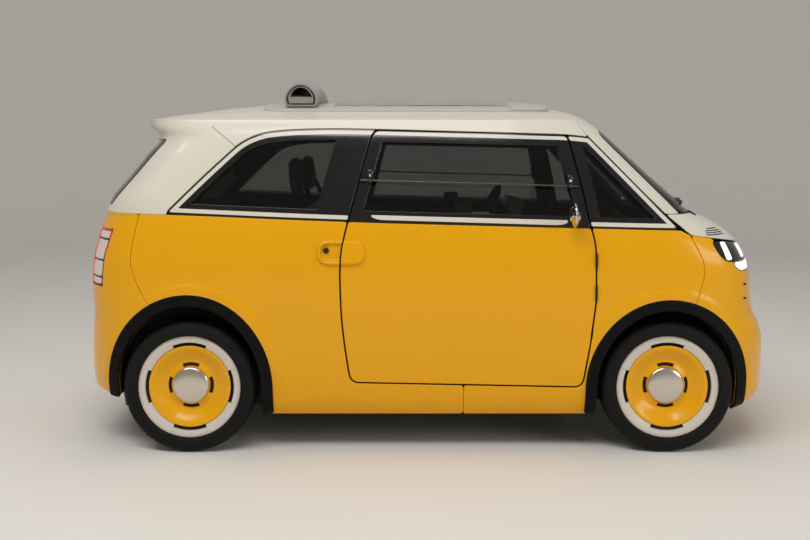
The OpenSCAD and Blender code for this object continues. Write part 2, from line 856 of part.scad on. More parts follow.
// Tailgate under the spoiler, hung on two barrels at its upper edge
gate_z = body_h * tailgate_shares[3][1] + door_gap / 2;
gate_x = -skin_rear(gate_z) - hinge_r - seat_gap;
module tailgate() {
    color("black", 0.6) one_mesh() intersection() {
        layer(0, tailgate_t);
        along_rear() tailgate_outline(0);
    }
}
module tailgate_hinges() {
    color("dimgray") both_sides() translate([gate_x, gate_hinge_y, gate_z])
        difference() {
            union() {
                rotate([-90, 0, 0]) cylinder(r = hinge_r, h = hinge_len);
                translate([0, 0, -door_gap / 2 + seat_gap]) cube([hinge_leaf_in, hinge_len, hinge_leaf_t]);
            }
            translate([0, -over, 0]) rotate([-90, 0, 0])
                cylinder(r = hinge_pin_r + run_gap, h = hinge_len + 2 * over);
        }
}
module hinge_pins() {
    color("gray") {
        both_sides() for (h = [hinge_low_share, hinge_high_share])
            translate([hinge_x, -hinge_y, h * body_h - hinge_foot - seat_gap]) {
                cylinder(r = hinge_r, h = hinge_foot);
                cylinder(r = hinge_pin_r, h = hinge_foot + hinge_len);
                translate([door_gap / 2 - seat_gap - hinge_leaf_t, 0, 0])
                    cube([hinge_leaf_t, hinge_leaf_in, hinge_foot]);
            }
        both_sides() translate([gate_x, -gate_hinge_y + hinge_foot + seat_gap, gate_z]) rotate([90, 0, 0]) {
            cylinder(r = hinge_r, h = hinge_foot);
            cylinder(r = hinge_pin_r, h = hinge_foot + hinge_len);
            translate([0, door_gap / 2 - seat_gap - hinge_leaf_t, 0])
                cube([hinge_leaf_in, hinge_leaf_t, hinge_foot]);
        }
    }
}

// Wipers on the base of the windscreen
wiper_len = 420;
wiper_t = 12;
wiper_set = 1.9;
wiper_up_share = 0.012;
module wipers() {
    wz = (cowl_top_share + wiper_up_share) * body_h;
    color("black") for (s = [-1, 1]) translate([skin_front(wz) - over - wiper_set,
        s * wiper_len / 2 - wiper_len / 2 + s * over, wz + over])
        cube([wiper_t, wiper_len, wiper_t]);
}

// Pad with the deflector at its front, and the hollow roll of canvas, bent to follow the roof's crown
pad_w_share = 0.56;
pad_rear_share = -0.483;
pad_front_share = 0.359;
deflector_share = 0.242;
roll_x_share = -0.371;
roll_w_share = 0.5;
roll_bend_share = 1.57;
roll_lift = 1;
hole_r = 47;
hole_mid = 40;
hole_low = 44;
module pad_block(rear) {
    translate([px(rear), -body_w * pad_w_share / 2, 0])
        cube([px(pad_front_share) - px(rear), body_w * pad_w_share, wide]);
}
module roof_pad() {
    color("linen") one_mesh() {
        intersection() {
            layer(-pad_t, -seat_gap);
            pad_block(pad_rear_share);
        }
        intersection() {
            layer(-pad_t - deflector_h, -seat_gap);
            pad_block(deflector_share);
        }
    }
}
module roll_section(r, mid, low) {
    intersection() {
        translate([mid, 0]) circle(r = r);
        translate([low, -wide]) square([wide, 2 * wide]);
    }
}
module canvas_roll() {
    bend_r = roll_bend_share * body_h;
    turn = 2 * asin(body_w * roll_w_share / 2 / bend_r);
    color("gray") translate([px(roll_x_share), 0, body_h + pad_t + roll_lift - bend_r]) rotate([0, 90, 0])
        rotate([0, 0, 180 - turn / 2]) rotate_extrude(angle = turn) translate([bend_r, 0]) difference() {
            roll_section(roll_r, roll_mid, 0);
            roll_section(hole_r, hole_mid, hole_low);
        }
}

// Dashboard on the firewall, steering column and wheel
dash_w_share = 0.775;
dash_low_share = 0.435;
dash_high_share = 0.615;
dash_w = body_w * dash_w_share;
dash_l = 260;
dash_low = body_h * dash_low_share;
dash_high = body_h * dash_high_share;
module dashboard() {
    fx = px(firewall_share);
    color("dimgray") difference() {
        across_w(dash_w) polygon([[fx, dash_low], [fx, dash_high], [fx - dash_l / 2, dash_high],
            [fx - dash_l, dash_high - dash_l / 3], [fx - dash_l, dash_high - dash_l / 2],
            [fx - dash_l / 2, dash_low]]);
        steer_place() translate([0, 0, steer_hub_t]) cylinder(r = column_r + seat_gap, h = column_l);
    }
}
module across_w(w) {
    rotate([90, 0, 0]) linear_extrude(w, center = true, convexity = 10) children();
}
steer_back = 338.625;
steer_z_share = 0.625;
steer_tilt = 25;
column_r = 22;
column_pin_r = 10;
column_pin_l = 40;
column_l = 190;
steer_hub_r = 36;
steer_hub_t = 44;
spoke_w = 34;
spoke_t = 14;
module steer_place() {
    translate([px(firewall_share) - steer_back, seat_y, steer_z_share * body_h])
        rotate([0, 90 + steer_tilt, 0]) children();
}
module steering_wheel() {
    color("black") steer_place() difference() {
        union() {
            rotate_extrude() translate([steer_d / 2 - steer_rim / 2, 0]) circle(d = steer_rim);
            translate([0, 0, -spoke_t]) cylinder(r = steer_hub_r, h = steer_hub_t);
            for (a = [0, 90, 180]) rotate([0, 0, a + 90]) translate([0, -spoke_w / 2, -spoke_t / 2])
                cube([steer_d / 2 - steer_rim / 2, spoke_w, spoke_t]);
        }
        translate([0, 0, steer_hub_t - spoke_t - column_pin_l])
            cylinder(r = column_pin_r + run_gap, h = column_pin_l + over);
    }
}
module steering_column() {
    color("dimgray") steer_place() {
        translate([0, 0, steer_hub_t - spoke_t + seat_gap]) cylinder(r = column_r, h = column_l);
        translate([0, 0, steer_hub_t - spoke_t - column_pin_l + seat_gap])
            cylinder(r = column_pin_r, h = column_pin_l);
    }
}

// Seats
cushion_l = 480;
seat_x_share = 0.0;
back_t = 110;
back_lean = 22;
head_w = 250;
head_h = 170;
seat_round = 30;
head_top_share = 0.828;
bench_top_share = 0.607;
base_z = ground_clear + floor_t + battery_h + seat_gap;
seat_back = (body_h * head_top_share - base_z) / cos(back_lean) - head_h;
module rounded(w) {
    rotate([90, 0, 0]) linear_extrude(w, center = true)
        offset(r = seat_round) offset(delta = -seat_round) children();
}
module front_seat() {
    sx = px(seat_x_share) - cushion_l / 2;
    rounded(seat_w) {
        translate([sx, base_z]) square([cushion_l, seat_h - base_z]);
        translate([sx, base_z]) rotate(back_lean) translate([-back_t / 3, back_t / 2])
            square([back_t, seat_back - back_t / 2]);
    }
    translate([sx, 0, base_z]) rotate([0, -back_lean, 0]) translate([0, 0, seat_back])
        rounded(head_w) translate([-back_t / 3, -seat_round]) square([back_t, head_h + seat_round]);
}
module front_seats() {
    color("tan") both_sides() translate([0, -seat_y, 0]) front_seat();
}
bench_side = 19.92;
bench_l = 380;
bench_t = 140;
bench_x_share = -0.60;
module rear_seat() {
    bx = px(bench_x_share) - bench_l / 2;
    bench_z = boot_z + floor_t + seat_gap;
    color("tan") rounded(2 * (liner_in_rear - bench_side)) {
        translate([bx, bench_z]) square([bench_l, bench_t]);
        translate([bx, bench_z]) rotate(back_lean)
            square([back_t, (body_h * bench_top_share - bench_z) / cos(back_lean)]);
    }
}

floor_pan();
battery_block();
motor_block();
rear_quarter(-1);  // rear_quarter_right
rear_quarter(1);  // rear_quarter_left
front_fender(-1);  // front_fender_right
front_fender(1);  // front_fender_left
front_fascia();
rear_fascia();
cowl();
roof_shell();
windscreen_frame();
windscreen();
window_frames();
window_glass();
arch_trims();
arch_liners();
headlamps();
tail_lamps();
wipers();
canvas_roll();
roof_pad();
dashboard();
steering_column();
steering_wheel();
front_seats();
rear_seat();
front_subframe();
rear_axle();
knuckle(-1);  // knuckle_right
knuckle(1);  // knuckle_left
tyre(axle_x, -1);  // tyre_front_right
tyre(axle_x, 1);  // tyre_front_left
tyre(-axle_x, -1);  // tyre_rear_right
tyre(-axle_x, 1);  // tyre_rear_left
wheel(axle_x, -1);  // wheel_front_right
wheel(axle_x, 1);  // wheel_front_left
wheel(-axle_x, -1);  // wheel_rear_right
wheel(-axle_x, 1);  // wheel_rear_left
door_panel(-1);  // door_panel_right
door_panel(1);  // door_panel_left
door_frame(-1);  // door_frame_right
door_frame(1);  // door_frame_left
door_glass(-1);  // door_glass_right
door_glass(1);  // door_glass_left
door_fittings(-1);  // door_fittings_right
door_fittings(1);  // door_fittings_left
door_hinges(-1);  // door_hinges_right
door_hinges(1);  // door_hinges_left
tailgate();
tailgate_hinges();
hinge_pins();
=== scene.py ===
import math
import bmesh
import bpy
import numpy as np
from mathutils import Matrix, Vector


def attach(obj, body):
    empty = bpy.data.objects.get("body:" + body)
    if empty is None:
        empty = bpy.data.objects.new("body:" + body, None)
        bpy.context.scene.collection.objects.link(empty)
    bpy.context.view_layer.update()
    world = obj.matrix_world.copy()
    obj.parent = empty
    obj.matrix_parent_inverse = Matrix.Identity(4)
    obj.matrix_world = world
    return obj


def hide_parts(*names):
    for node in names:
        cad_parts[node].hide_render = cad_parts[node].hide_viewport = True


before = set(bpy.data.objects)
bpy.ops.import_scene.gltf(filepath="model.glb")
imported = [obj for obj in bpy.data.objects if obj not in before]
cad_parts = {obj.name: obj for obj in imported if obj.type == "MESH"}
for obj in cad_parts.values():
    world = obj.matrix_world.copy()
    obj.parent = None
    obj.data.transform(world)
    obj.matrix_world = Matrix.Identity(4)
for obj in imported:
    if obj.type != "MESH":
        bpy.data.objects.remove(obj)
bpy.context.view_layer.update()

# Sizes in metres, as in the part's source
HL, HW, BH = 1.505, 0.71, 1.471
AXLE, HUB, TYRE_Y = 1.0, 0.278, 0.608
GAP, WALL = 0.006, 0.045
# Each ring: height, rear, front and width as shares, and two powers of roundness
RINGS = np.column_stack([[
    (0.103, 0.963, 0.927, 0.873), (0.121, 0.978, 0.963, 0.901), (0.136, 0.986, 0.99, 0.918),
    (0.172, 0.995, 0.999, 0.941), (0.224, 1.0, 1.0, 0.961), (0.294, 0.999, 1.0, 0.977),
    (0.346, 0.996, 0.989, 0.987), (0.386, 0.993, 0.97, 0.993), (0.435, 0.995, 0.962, 0.998),
    (0.479, 0.997, 0.959, 1.0), (0.531, 0.993, 0.95, 0.999), (0.564, 0.989, 0.938, 0.995),
    (0.589, 0.982, 0.922, 0.989), (0.621, 0.973, 0.89, 0.982), (0.646, 0.963, 0.852, 0.973),
    (0.67, 0.953, 0.803, 0.963), (0.683, 0.948, 0.773, 0.956), (0.721, 0.932, 0.732, 0.935),
    (0.782, 0.883, 0.666, 0.899), (0.85, 0.83, 0.593, 0.858), (0.899, 0.792, 0.541, 0.827),
    (0.923, 0.815, 0.514, 0.808), (0.9445, 0.8315, 0.4847, 0.7917), (0.948, 0.834, 0.48, 0.789),
    (0.9497, 0.826, 0.4774, 0.7753), (0.962, 0.767, 0.4585, 0.676), (0.977, 0.675, 0.425, 0.535),
    (0.988, 0.603, 0.372, 0.394), (0.995, 0.5435, 0.312, 0.254), (0.9993, 0.51, 0.2525, 0.127),
    (1.0, 0.492, 0.226, 0.056), (1.0002, 0.48, 0.21, 0.0002)],
    np.repeat([12, 13, 14, 13, 12, 9, 8, 7, 6], [16, 1, 5, 3, 1, 1, 1, 1, 3]),
    np.repeat([2.8, 2.9, 3, 2.8, 2.7, 2.6, 2.5, 2.4], [14, 2, 10, 1, 1, 1, 1, 2])])
WAIST = [(-1.07, 0.683), (-0.73, 0.682), (-0.26, 0.6608), (0.697, 0.636), (0.72, 0.622),
         (0.83, 0.607), (0.9215, 0.587), (1.07, 0.57), (1.5, -0.1), (-1.5, -0.1)]
REAR_SHUT = [(-0.797, 0.75), (-0.799, 0.691), (-0.814, 0.623), (-0.8226, 0.566), (-0.8226, 0.535),
             (-0.806, 0.487), (-0.778, 0.433), (-0.664, 0.34), (-0.664, 0), (-2, 0), (-2, 0.75)]
FRONT_SHUT = [(0.714, 0.6526), (0.725, 0.615), (0.7475, 0.571), (0.76, 0.538), (0.76, 0.506),
              (0.7375, 0.43), (0.664, 0.326), (0.664, 0), (2, 0), (2, 0.6526)]
DOOR = [(-0.151, 0.918), (-0.174, 0.843), (-0.191, 0.773), (-0.221, 0.659), (-0.238, 0.585),
        (-0.2425, 0.517), (-0.238, 0.381), (-0.2246, 0.272), (-0.214, 0.2046), (0.425, 0.191),
        (0.444, 0.3175), (0.456, 0.415), (0.458, 0.44), (0.458, 0.571), (0.4545, 0.605),
        (0.4435, 0.648), (0.417, 0.782), (0.388, 0.9055)]
WINDOW = [(-0.73, 0.682), (-0.6266, 0.7886), (-0.525, 0.886), (-0.4684, 0.9116), (-0.395, 0.9205),
          (-0.28, 0.924), (-0.153, 0.922), (0.388, 0.907), (0.453, 0.9), (0.698, 0.6355),
          (-0.26, 0.6608)]
PILLAR = [(0.4, 1.05), (0.418, 0.959), (0.432, 0.925), (0.453, 0.9), (0.76, 0.569), (2, 0), (2, 2)]
SCREEN = [(0.4725, 0.9245), (0.7045, 0.68), (2, 0.68), (2, 0.9245)]
LAMP = [(0.786, 0.604), (0.797, 0.58), (0.812, 0.558), (0.832, 0.545), (0.853, 0.543), (0.862, 0.524),
        (0.88, 0.514), (2, 0.514), (2, 0.604)]


def shares(points):
    return np.array([(x * HL, z * BH) for x, z in points])


def softened(points, radius=0.04, turn=25, steps=6):
    """The outline with its sharp corners rounded and its gentle bends run into curves."""
    p = np.asarray(points, float)
    out = []
    for i in range(len(p)):
        a, b, c = p[i - 1], p[i], p[(i + 1) % len(p)]
        u, v = a - b, c - b
        lu, lv = np.linalg.norm(u), np.linalg.norm(v)
        cosine = np.clip(np.dot(u, v) / (lu * lv), -1, 1)
        bend = math.pi - math.acos(cosine)
        cut = 0.48 * min(lu, lv)
        if bend > math.radians(turn):
            cut = min(cut, radius * math.tan(bend / 2))
        s, e = b + u / lu * cut, b + v / lv * cut
        for k in range(steps + 1):
            t = k / steps
            out.append((1 - t) ** 2 * s + 2 * t * (1 - t) * b + t * t * e)
    return np.array(out)


class Region:
    """A distance over the body, positive within it: & is what two share, | is either, minus is the rest."""

    def __init__(self, f):
        self.f = f

    def __call__(self, *p):
        return self.f(*p)

    def __and__(self, other):
        return Region(lambda *p: np.minimum(self(*p), other(*p)))

    def __or__(self, other):
        return -(-self & -other)

    def __neg__(self):
        return Region(lambda *p: -self(*p))

    def __add__(self, d):
        return self - -d

    def __sub__(self, d):
        return Region(lambda *p: self(*p) - d)

    def __rsub__(self, d):
        return Region(lambda *p: d - self(*p))


X, ABS_Y, Z = Region(lambda x, y, z: x), Region(lambda x, y, z: np.abs(y)), Region(lambda x, y, z: z)
CHUNK = 20000


def inside(poly, plane=(0, 2)):
    """The region within an outline drawn in the plane of two coordinates."""
    a = np.asarray(poly, float)
    b = np.roll(a, -1, axis=0)
    d = b - a
    rise = np.where(d[:, 1] == 0, 1, d[:, 1])

    def f(*xyz):
        q = np.stack([np.ravel(xyz[k]) for k in plane], 1)
        out = np.empty(len(q))
        for s in range(0, len(q), CHUNK):
            p = q[s:s + CHUNK, None, :]
            t = np.clip(((p - a) * d).sum(2) / (d * d).sum(1), 0, 1)
            near = np.sqrt((((a + t[..., None] * d) - p) ** 2).sum(2)).min(1)
            over = (a[:, 1] > p[..., 1]) != (b[:, 1] > p[..., 1])
            hit = over & (p[..., 0] < d[:, 0] * (p[..., 1] - a[:, 1]) / rise + a[:, 0])
            out[s:s + CHUNK] = np.where(hit.sum(1) % 2 == 1, near, -near)
        return out.reshape(np.shape(xyz[0]))
    return Region(f)


def outline(points, radius, plane=(0, 2)):
    return inside(softened(points, radius), plane)


def smooth(xk, yk, x):
    """A curve through the points that doesn't overshoot them."""
    h = np.diff(xk)
    d = np.diff(yk) / h
    m = np.zeros(len(xk))
    same = d[:-1] * d[1:] > 0
    w1, w2 = 2 * h[1:] + h[:-1], h[1:] + 2 * h[:-1]
    with np.errstate(divide="ignore", invalid="ignore"):
        m[1:-1] = np.where(same, (w1 + w2) / (w1 / d[:-1] + w2 / d[1:]), 0)
    m[0], m[-1] = d[0], d[-1]
    x = np.clip(x, xk[0], xk[-1])
    i = np.clip(np.searchsorted(xk, x, "right") - 1, 0, len(h) - 1)
    t = (x - xk[i]) / h[i]
    return ((1 + 2 * t) * (1 - t) ** 2 * yk[i] + t * (1 - t) ** 2 * h[i] * m[i]
            + t * t * (3 - 2 * t) * yk[i + 1] + t * t * (t - 1) * h[i] * m[i + 1])


# Distance along the section from the sill over the roof's edge to its middle
RUN = np.concatenate([[0], np.cumsum(np.hypot(np.diff(RINGS[:, 0]) * BH, np.diff(RINGS[:, 3]) * HW))])


def section(at, v):
    """Height, middle, half length, half width and powers of the body's ring at the place v along at."""
    z, rear, front, w, p, q = (smooth(at, RINGS[:, k], v) for k in range(6))
    return z * BH, HL * (front - rear) / 2, HL * (front + rear) / 2, HW * w, p, q


def skin_side(x, z):
    """Point on the right side of the body at X and Z."""
    _, mid, reach, w, p, q = section(RINGS[:, 0], z / BH)
    u = np.clip(np.abs((x - mid) / reach), 0, 0.99999)
    return np.stack([x, -w * (1 - u ** p) ** (1 / q), z], -1)


def skin_wrap(a, s):
    """Point on the body at a turn from the front and a run up the section."""
    z, mid, reach, w, p, q = section(RUN, s)
    c, n = np.cos(a), np.sin(a)
    x = mid + reach * np.sign(c) * np.abs(c) ** (2 / p)
    return np.stack([x, w * np.sign(n) * np.abs(n) ** (2 / q), z], -1)


def wrap_turns(step, split=0.8, p=12, q=2.8):
    """Turns with even steps, across the ends of the body and then along its sides."""
    ends = np.arcsin(np.arange(0, split, step / HW) ** (q / 2))
    top = (1 - split ** q) ** (1 / p)
    u = np.linspace(top, 0, int(top * HL / step))[:-1]
    quarter = np.concatenate([ends, np.arccos(u ** (p / 2))])
    half = np.concatenate([quarter, [math.pi / 2], math.pi - quarter[::-1]])
    return np.concatenate([half, math.pi + half[1:-1]])


def unit(v):
    size = np.linalg.norm(v, axis=-1, keepdims=True)
    return v / np.where(size < 1e-12, 1, size)


def normals_at(surf, u, v, e=1e-4):
    return unit(np.cross(surf(u + e, v) - surf(u - e, v), surf(u, v + e) - surf(u, v - e)))


# Halvings that find a clip's edge, and how near to a grid point it may lie
HALVINGS, CUT_SHARES = 18, (0.004, 0.996)


class Sheet:
    """A grid of points on the body, clipped to a region, with the clip's points on its true edge."""

    def __init__(self, surf, us, vs, closed, region, rise=None):
        self.faces = []
        u, v = np.meshgrid(us, vs, indexing="ij")
        nu, nv = u.shape

        def risen(uu, vv):
            p = surf(uu, vv)
            return p + normals_at(surf, uu, vv) * rise(p)[..., None]

        def within(uu, vv):
            return region(*np.moveaxis(surf(uu, vv), -1, 0)) > 0
        keep = within(u, v)
        count = keep.sum()
        index = -np.ones((nu, nv), int)
        index[keep] = np.arange(count)
        spots, cuts = [(u[keep], v[keep])], {}
        for axis in (0, 1):
            i, j = np.indices((nu, nv - 1) if axis else (nu if closed else nu - 1, nv))
            i2, j2 = (i, j + 1) if axis else ((i + 1) % nu, j)
            cross = keep[i, j] != keep[i2, j2]
            i, j, i2, j2 = i[cross], j[cross], i2[cross], j2[cross]
            if not len(i):
                continue
            ua, va, ub, vb = u[i, j], v[i, j], u[i2, j2].copy(), v[i2, j2]
            ub[(i2 == 0) & (i == nu - 1)] += 2 * math.pi
            low = np.where(keep[i, j], 0.0, 1.0)
            high = 1 - low
            for _ in range(HALVINGS):
                m = (low + high) / 2
                good = within(ua + (ub - ua) * m, va + (vb - va) * m)
                low, high = np.where(good, m, low), np.where(good, high, m)
            m = np.clip(low, *CUT_SHARES)
            spots.append((ua + (ub - ua) * m, va + (vb - va) * m))
            for k in range(len(i)):
                cuts[(i[k], j[k], axis)] = count + k
            count += len(i)
        top, spots = surf if rise is None else risen, np.concatenate(spots, axis=1)
        self.v, self.n = top(*spots), normals_at(top, *spots)
        for i in range(nu if closed else nu - 1):
            i2 = (i + 1) % nu
            row = keep[i].astype(int) + keep[i2]
            for j in np.nonzero(row[:-1] + row[1:])[0]:
                ring = [(i, j), (i2, j), (i2, j + 1), (i, j + 1)]
                edge = [(i, j, 0), (i2, j, 1), (i, j + 1, 0), (i, j, 1)]
                face = []
                for k in range(4):
                    if keep[ring[k]]:
                        face.append(index[ring[k]])
                    if edge[k] in cuts:
                        face.append(cuts[edge[k]])
                if len(face) > 2:
                    self.faces.append(face)

    def rims(self):
        """Closed runs of edge points, each with the sheet on its left."""
        half = {}
        seen = {(f[k], f[(k + 1) % len(f)]) for f in self.faces for k in range(len(f))}
        for a, b in seen:
            if (b, a) not in seen:
                half.setdefault(a, []).append(b)
        runs = []
        while half:
            start = next(iter(half))
            run, at = [start], start
            while at in half:
                nxt = half[at].pop()
                if not half[at]:
                    del half[at]
                if nxt == start:
                    break
                run.append(nxt)
                at = nxt
            if len(run) > 2:
                runs.append(run)
        return runs


def put(name, data):
    obj = bpy.data.objects.new(name, data)
    bpy.context.scene.collection.objects.link(obj)
    return obj


def put_mesh(name, v, f):
    mesh = bpy.data.meshes.new(name)
    mesh.from_pydata(v, [], f)
    mesh.polygons.foreach_set("use_smooth", [True] * len(f))
    return put(name, mesh)


# Edges bent more than this are drawn sharp; a rolled edge is drawn at these turns
SHARP, ROLL_TURNS = 38, (0, 30, 60, 90)


class Build:
    """Collects points, normals and faces of one piece."""

    def __init__(self):
        self.v, self.n, self.f, self.m = [], [], [], []

    def add(self, v, n, f, m=0):
        """Faces with their points' normals; m is one number or one for each face."""
        base = len(self.v)
        self.v.extend(map(tuple, v))
        self.n.extend(map(tuple, n))
        self.f.extend([[base + k for k in face] for face in f])
        self.m.extend([m] * len(f) if isinstance(m, int) else m)
        return self

    def solid(self, v, f, m=0):
        """Faces whose shading follows their angles."""
        return self.add(v, (), f, m)

    def join(self, other):
        return self.add(other.v, other.n, other.f, other.m)

    def panel(self, sheet, edge, depth, m=0, m_in=None, proud=0.0, back=True):
        """The sheet with a rolled edge of that radius, walls of that depth and a back."""
        m_in = m if m_in is None else m_in
        v = sheet.v + sheet.n * proud
        self.add(v, sheet.n, sheet.faces, m)
        if back:
            self.add(v - sheet.n * depth, -sheet.n, [f[::-1] for f in sheet.faces], m_in)
        for run in sheet.rims():
            p, n, k = v[run], sheet.n[run], len(run)
            b = unit(np.cross(unit(np.roll(p, -1, 0) - np.roll(p, 1, 0)), n))
            bends = [(math.sin(a), math.cos(a)) for a in np.radians(ROLL_TURNS)]
            rows = [p + b * edge * s - n * edge * (1 - c) for s, c in bends]
            rows += [p + b * edge - n * edge, p + b * edge - n * depth, p - n * depth]
            norms = [n * c + b * s for s, c in bends] + [b, b, -n]
            faces = [[r * k + q, (r + 1) * k + q, (r + 1) * k + (q + 1) % k, r * k + (q + 1) % k]
                     for r in (0, 1, 2, 4, 5) for q in range(k)]
            self.add(np.concatenate(rows), np.concatenate(norms), faces, [m] * 3 * k + [m_in] * 2 * k)
        return self

    def moved(self, dx):
        o = Build().join(self)
        o.v = [(x + dx, y, z) for x, y, z in o.v]
        return o

    def flip(self):
        """The same on the left side."""
        o = Build()
        o.v, o.n = ([(x, -y, z) for x, y, z in rows] for rows in (self.v, self.n))
        o.f, o.m = [f[::-1] for f in self.f], list(self.m)
        return o

    def piece(self, name, mats, slot, *nodes, body="chassis"):
        obj = put_mesh(name, self.v, self.f)
        mesh = obj.data
        mesh.polygons.foreach_set("material_index", self.m)
        if len(self.n) == len(self.v):
            mesh.normals_split_custom_set_from_vertices(self.n)
        else:
            bm = bmesh.new()
            bm.from_mesh(mesh)
            bmesh.ops.remove_doubles(bm, verts=bm.verts, dist=1e-6)
            bmesh.ops.recalc_face_normals(bm, faces=bm.faces)
            bm.to_mesh(mesh)
            bm.free()
            mesh.set_sharp_from_angle(angle=math.radians(SHARP))
        for m in mats:
            mesh.materials.append(m)
        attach(obj, body)
        if nodes:
            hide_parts(*nodes)
        return obj


def pair(b, name, mats, slot, node=None, body=None):
    """The part on the right and its mirror image on the left, as two pieces."""
    for side, part in (("_right", b), ("_left", b.flip())):
        nodes = [node + side] if node else []
        part.piece(name + side, mats, slot, *nodes, body=body + side if body else "chassis")


def both(b, name, mats, slot, *nodes):
    """The part on the right and its mirror image on the left, as one piece of the chassis."""
    b.join(b.flip()).piece(name, mats, slot, *nodes)


def grid_faces(rows, n, closed=True):
    """Faces between rows of n points each."""
    return [[r * n + k, r * n + (k + 1) % n, (r + 1) * n + (k + 1) % n, (r + 1) * n + k]
            for r in range(rows - 1) for k in range(n if closed else n - 1)]


def cells(point, rows, turns, cell):
    """A ring of cells, each at its own level, with walls where the level changes."""
    v, f, m, index = [], [], [], {}

    def at(i, j, level):
        key = (i, j % turns, level)
        if key not in index:
            index[key] = len(v)
            v.append(point(i, j % turns, level))
        return index[key]
    for i in range(rows):
        for j in range(turns):
            level, mat = cell(i, j)
            f.append([at(i, j, level), at(i + 1, j, level), at(i + 1, j + 1, level), at(i, j + 1, level)])
            m.append(mat)
            corner = (i + 1, j + 1)
            for i2, j2, a, b in ((i + 1, j, (i + 1, j), corner), (i, j + 1, (i, j + 1), corner)):
                if i2 < rows:
                    other, mat2 = cell(i2, j2 % turns)
                    if other != level:
                        f.append([at(*a, level), at(*b, level), at(*b, other), at(*a, other)])
                        m.append(mat if level > other else mat2)
    return v, f, m


def turned(profile, place, turns=40, mats=0):
    """A profile of radius and height, turned about an axis."""
    def point(i, j, level):
        a = 2 * math.pi * j / turns
        return place(profile[i][0] * math.cos(a), profile[i][0] * math.sin(a), profile[i][1])
    look = [mats] * len(profile) if isinstance(mats, int) else mats
    return cells(point, len(profile) - 1, turns, lambda i, j: (0, look[i]))


TUBE_END = (1.4, 0.9, 0.45)


def tube(path, r, sides=14):
    """A rod along a path, with rounded ends."""
    p = np.array(path, float)
    t = unit(np.gradient(p, axis=0))
    r = np.broadcast_to(np.asarray(r, float), len(p))
    rows = [(p[0] - t[0] * r[0] * math.sin(a), t[0], r[0] * math.cos(a)) for a in TUBE_END]
    rows += [(p[k], t[k], r[k]) for k in range(len(p))]
    rows += [(p[-1] + t[-1] * r[-1] * math.sin(a), t[-1], r[-1] * math.cos(a)) for a in TUBE_END[::-1]]
    ref = np.array((0, 0, 1.0) if np.abs(t[:, 2]).max() < 0.9 else (0, 1.0, 0))
    v = []
    for c, d, k in rows:
        n = unit(np.cross(d, ref))
        b = np.cross(n, d)
        v += [c + k * (n * math.cos(a) + b * math.sin(a)) for a in np.arange(sides) * 2 * math.pi / sides]
    ends = [list(range(sides))[::-1], [(len(rows) - 1) * sides + j for j in range(sides)]]
    return v, grid_faces(len(rows), sides) + ends


def block(size, bevel, place, segments=3):
    """A box with rounded edges, set by a matrix."""
    bm = bmesh.new()
    bmesh.ops.create_cube(bm, size=1, matrix=Matrix.Diagonal((*size, 1)))
    bmesh.ops.bevel(bm, geom=bm.edges[:], offset=bevel, segments=segments, profile=0.5, affect="EDGES",
                    clamp_overlap=True)
    bm.transform(place)
    bm.verts.index_update()
    v = [tuple(p.co) for p in bm.verts]
    f = [[p.index for p in q.verts] for q in bm.faces]
    bm.free()
    return v, f


def at_place(x, y, z, turn=0.0, axis="Y"):
    return Matrix.Translation((x, y, z)) @ Matrix.Rotation(math.radians(turn), 4, axis)


# Materials
def colour(*rgb):
    return tuple(((c / 255 + 0.055) / 1.055) ** 2.4 if c > 10.3 else c / 255 / 12.92 for c in rgb) + (1,)


def settle(node, **inputs):
    """The node with its sockets set."""
    for name, value in inputs.items():
        node.inputs[name.replace("_", " ")].default_value = value
    return node


def material(name, rgb, rough, vary=0.06, grain=40.0, bump=0.0, bump_size=300.0, stretch=None,
             rough_vary=0.05, **sockets):
    """A look whose colour and roughness vary with one noise and whose surface is lifted by a finer one."""
    m = bpy.data.materials.new(name)
    m.use_nodes = True
    new, link = m.node_tree.nodes.new, m.node_tree.links.new
    s = settle(m.node_tree.nodes["Principled BSDF"], Coat_Roughness=0.04, **sockets)
    where = new("ShaderNodeTexCoord").outputs["Object"]
    if stretch:
        fit = settle(new("ShaderNodeMapping"), Scale=stretch)
        link(where, fit.inputs["Vector"])
        where = fit.outputs["Vector"]
    noise = settle(new("ShaderNodeTexNoise"), Scale=grain, Detail=5)
    link(where, noise.inputs["Vector"])
    ramp = new("ShaderNodeValToRGB")
    for stop, share in zip(ramp.color_ramp.elements, (1 - vary, 1 + vary)):
        stop.color = tuple(min(1, c * share) for c in colour(*rgb)[:3]) + (1,)
    link(noise.outputs["Fac"], ramp.inputs["Fac"])
    link(ramp.outputs["Color"], s.inputs["Base Color"])
    level = settle(new("ShaderNodeMapRange"), To_Min=max(0.0, rough - rough_vary),
                   To_Max=min(1.0, rough + rough_vary))
    link(noise.outputs["Fac"], level.inputs["Value"])
    link(level.outputs["Result"], s.inputs["Roughness"])
    if bump:
        fine = settle(new("ShaderNodeTexNoise"), Scale=bump_size, Detail=3)
        link(where, fine.inputs["Vector"])
        lift = settle(new("ShaderNodeBump"), Strength=bump, Distance=0.001)
        link(fine.outputs["Fac"], lift.inputs["Height"])
        link(lift.outputs["Normal"], s.inputs["Normal"])
    return m


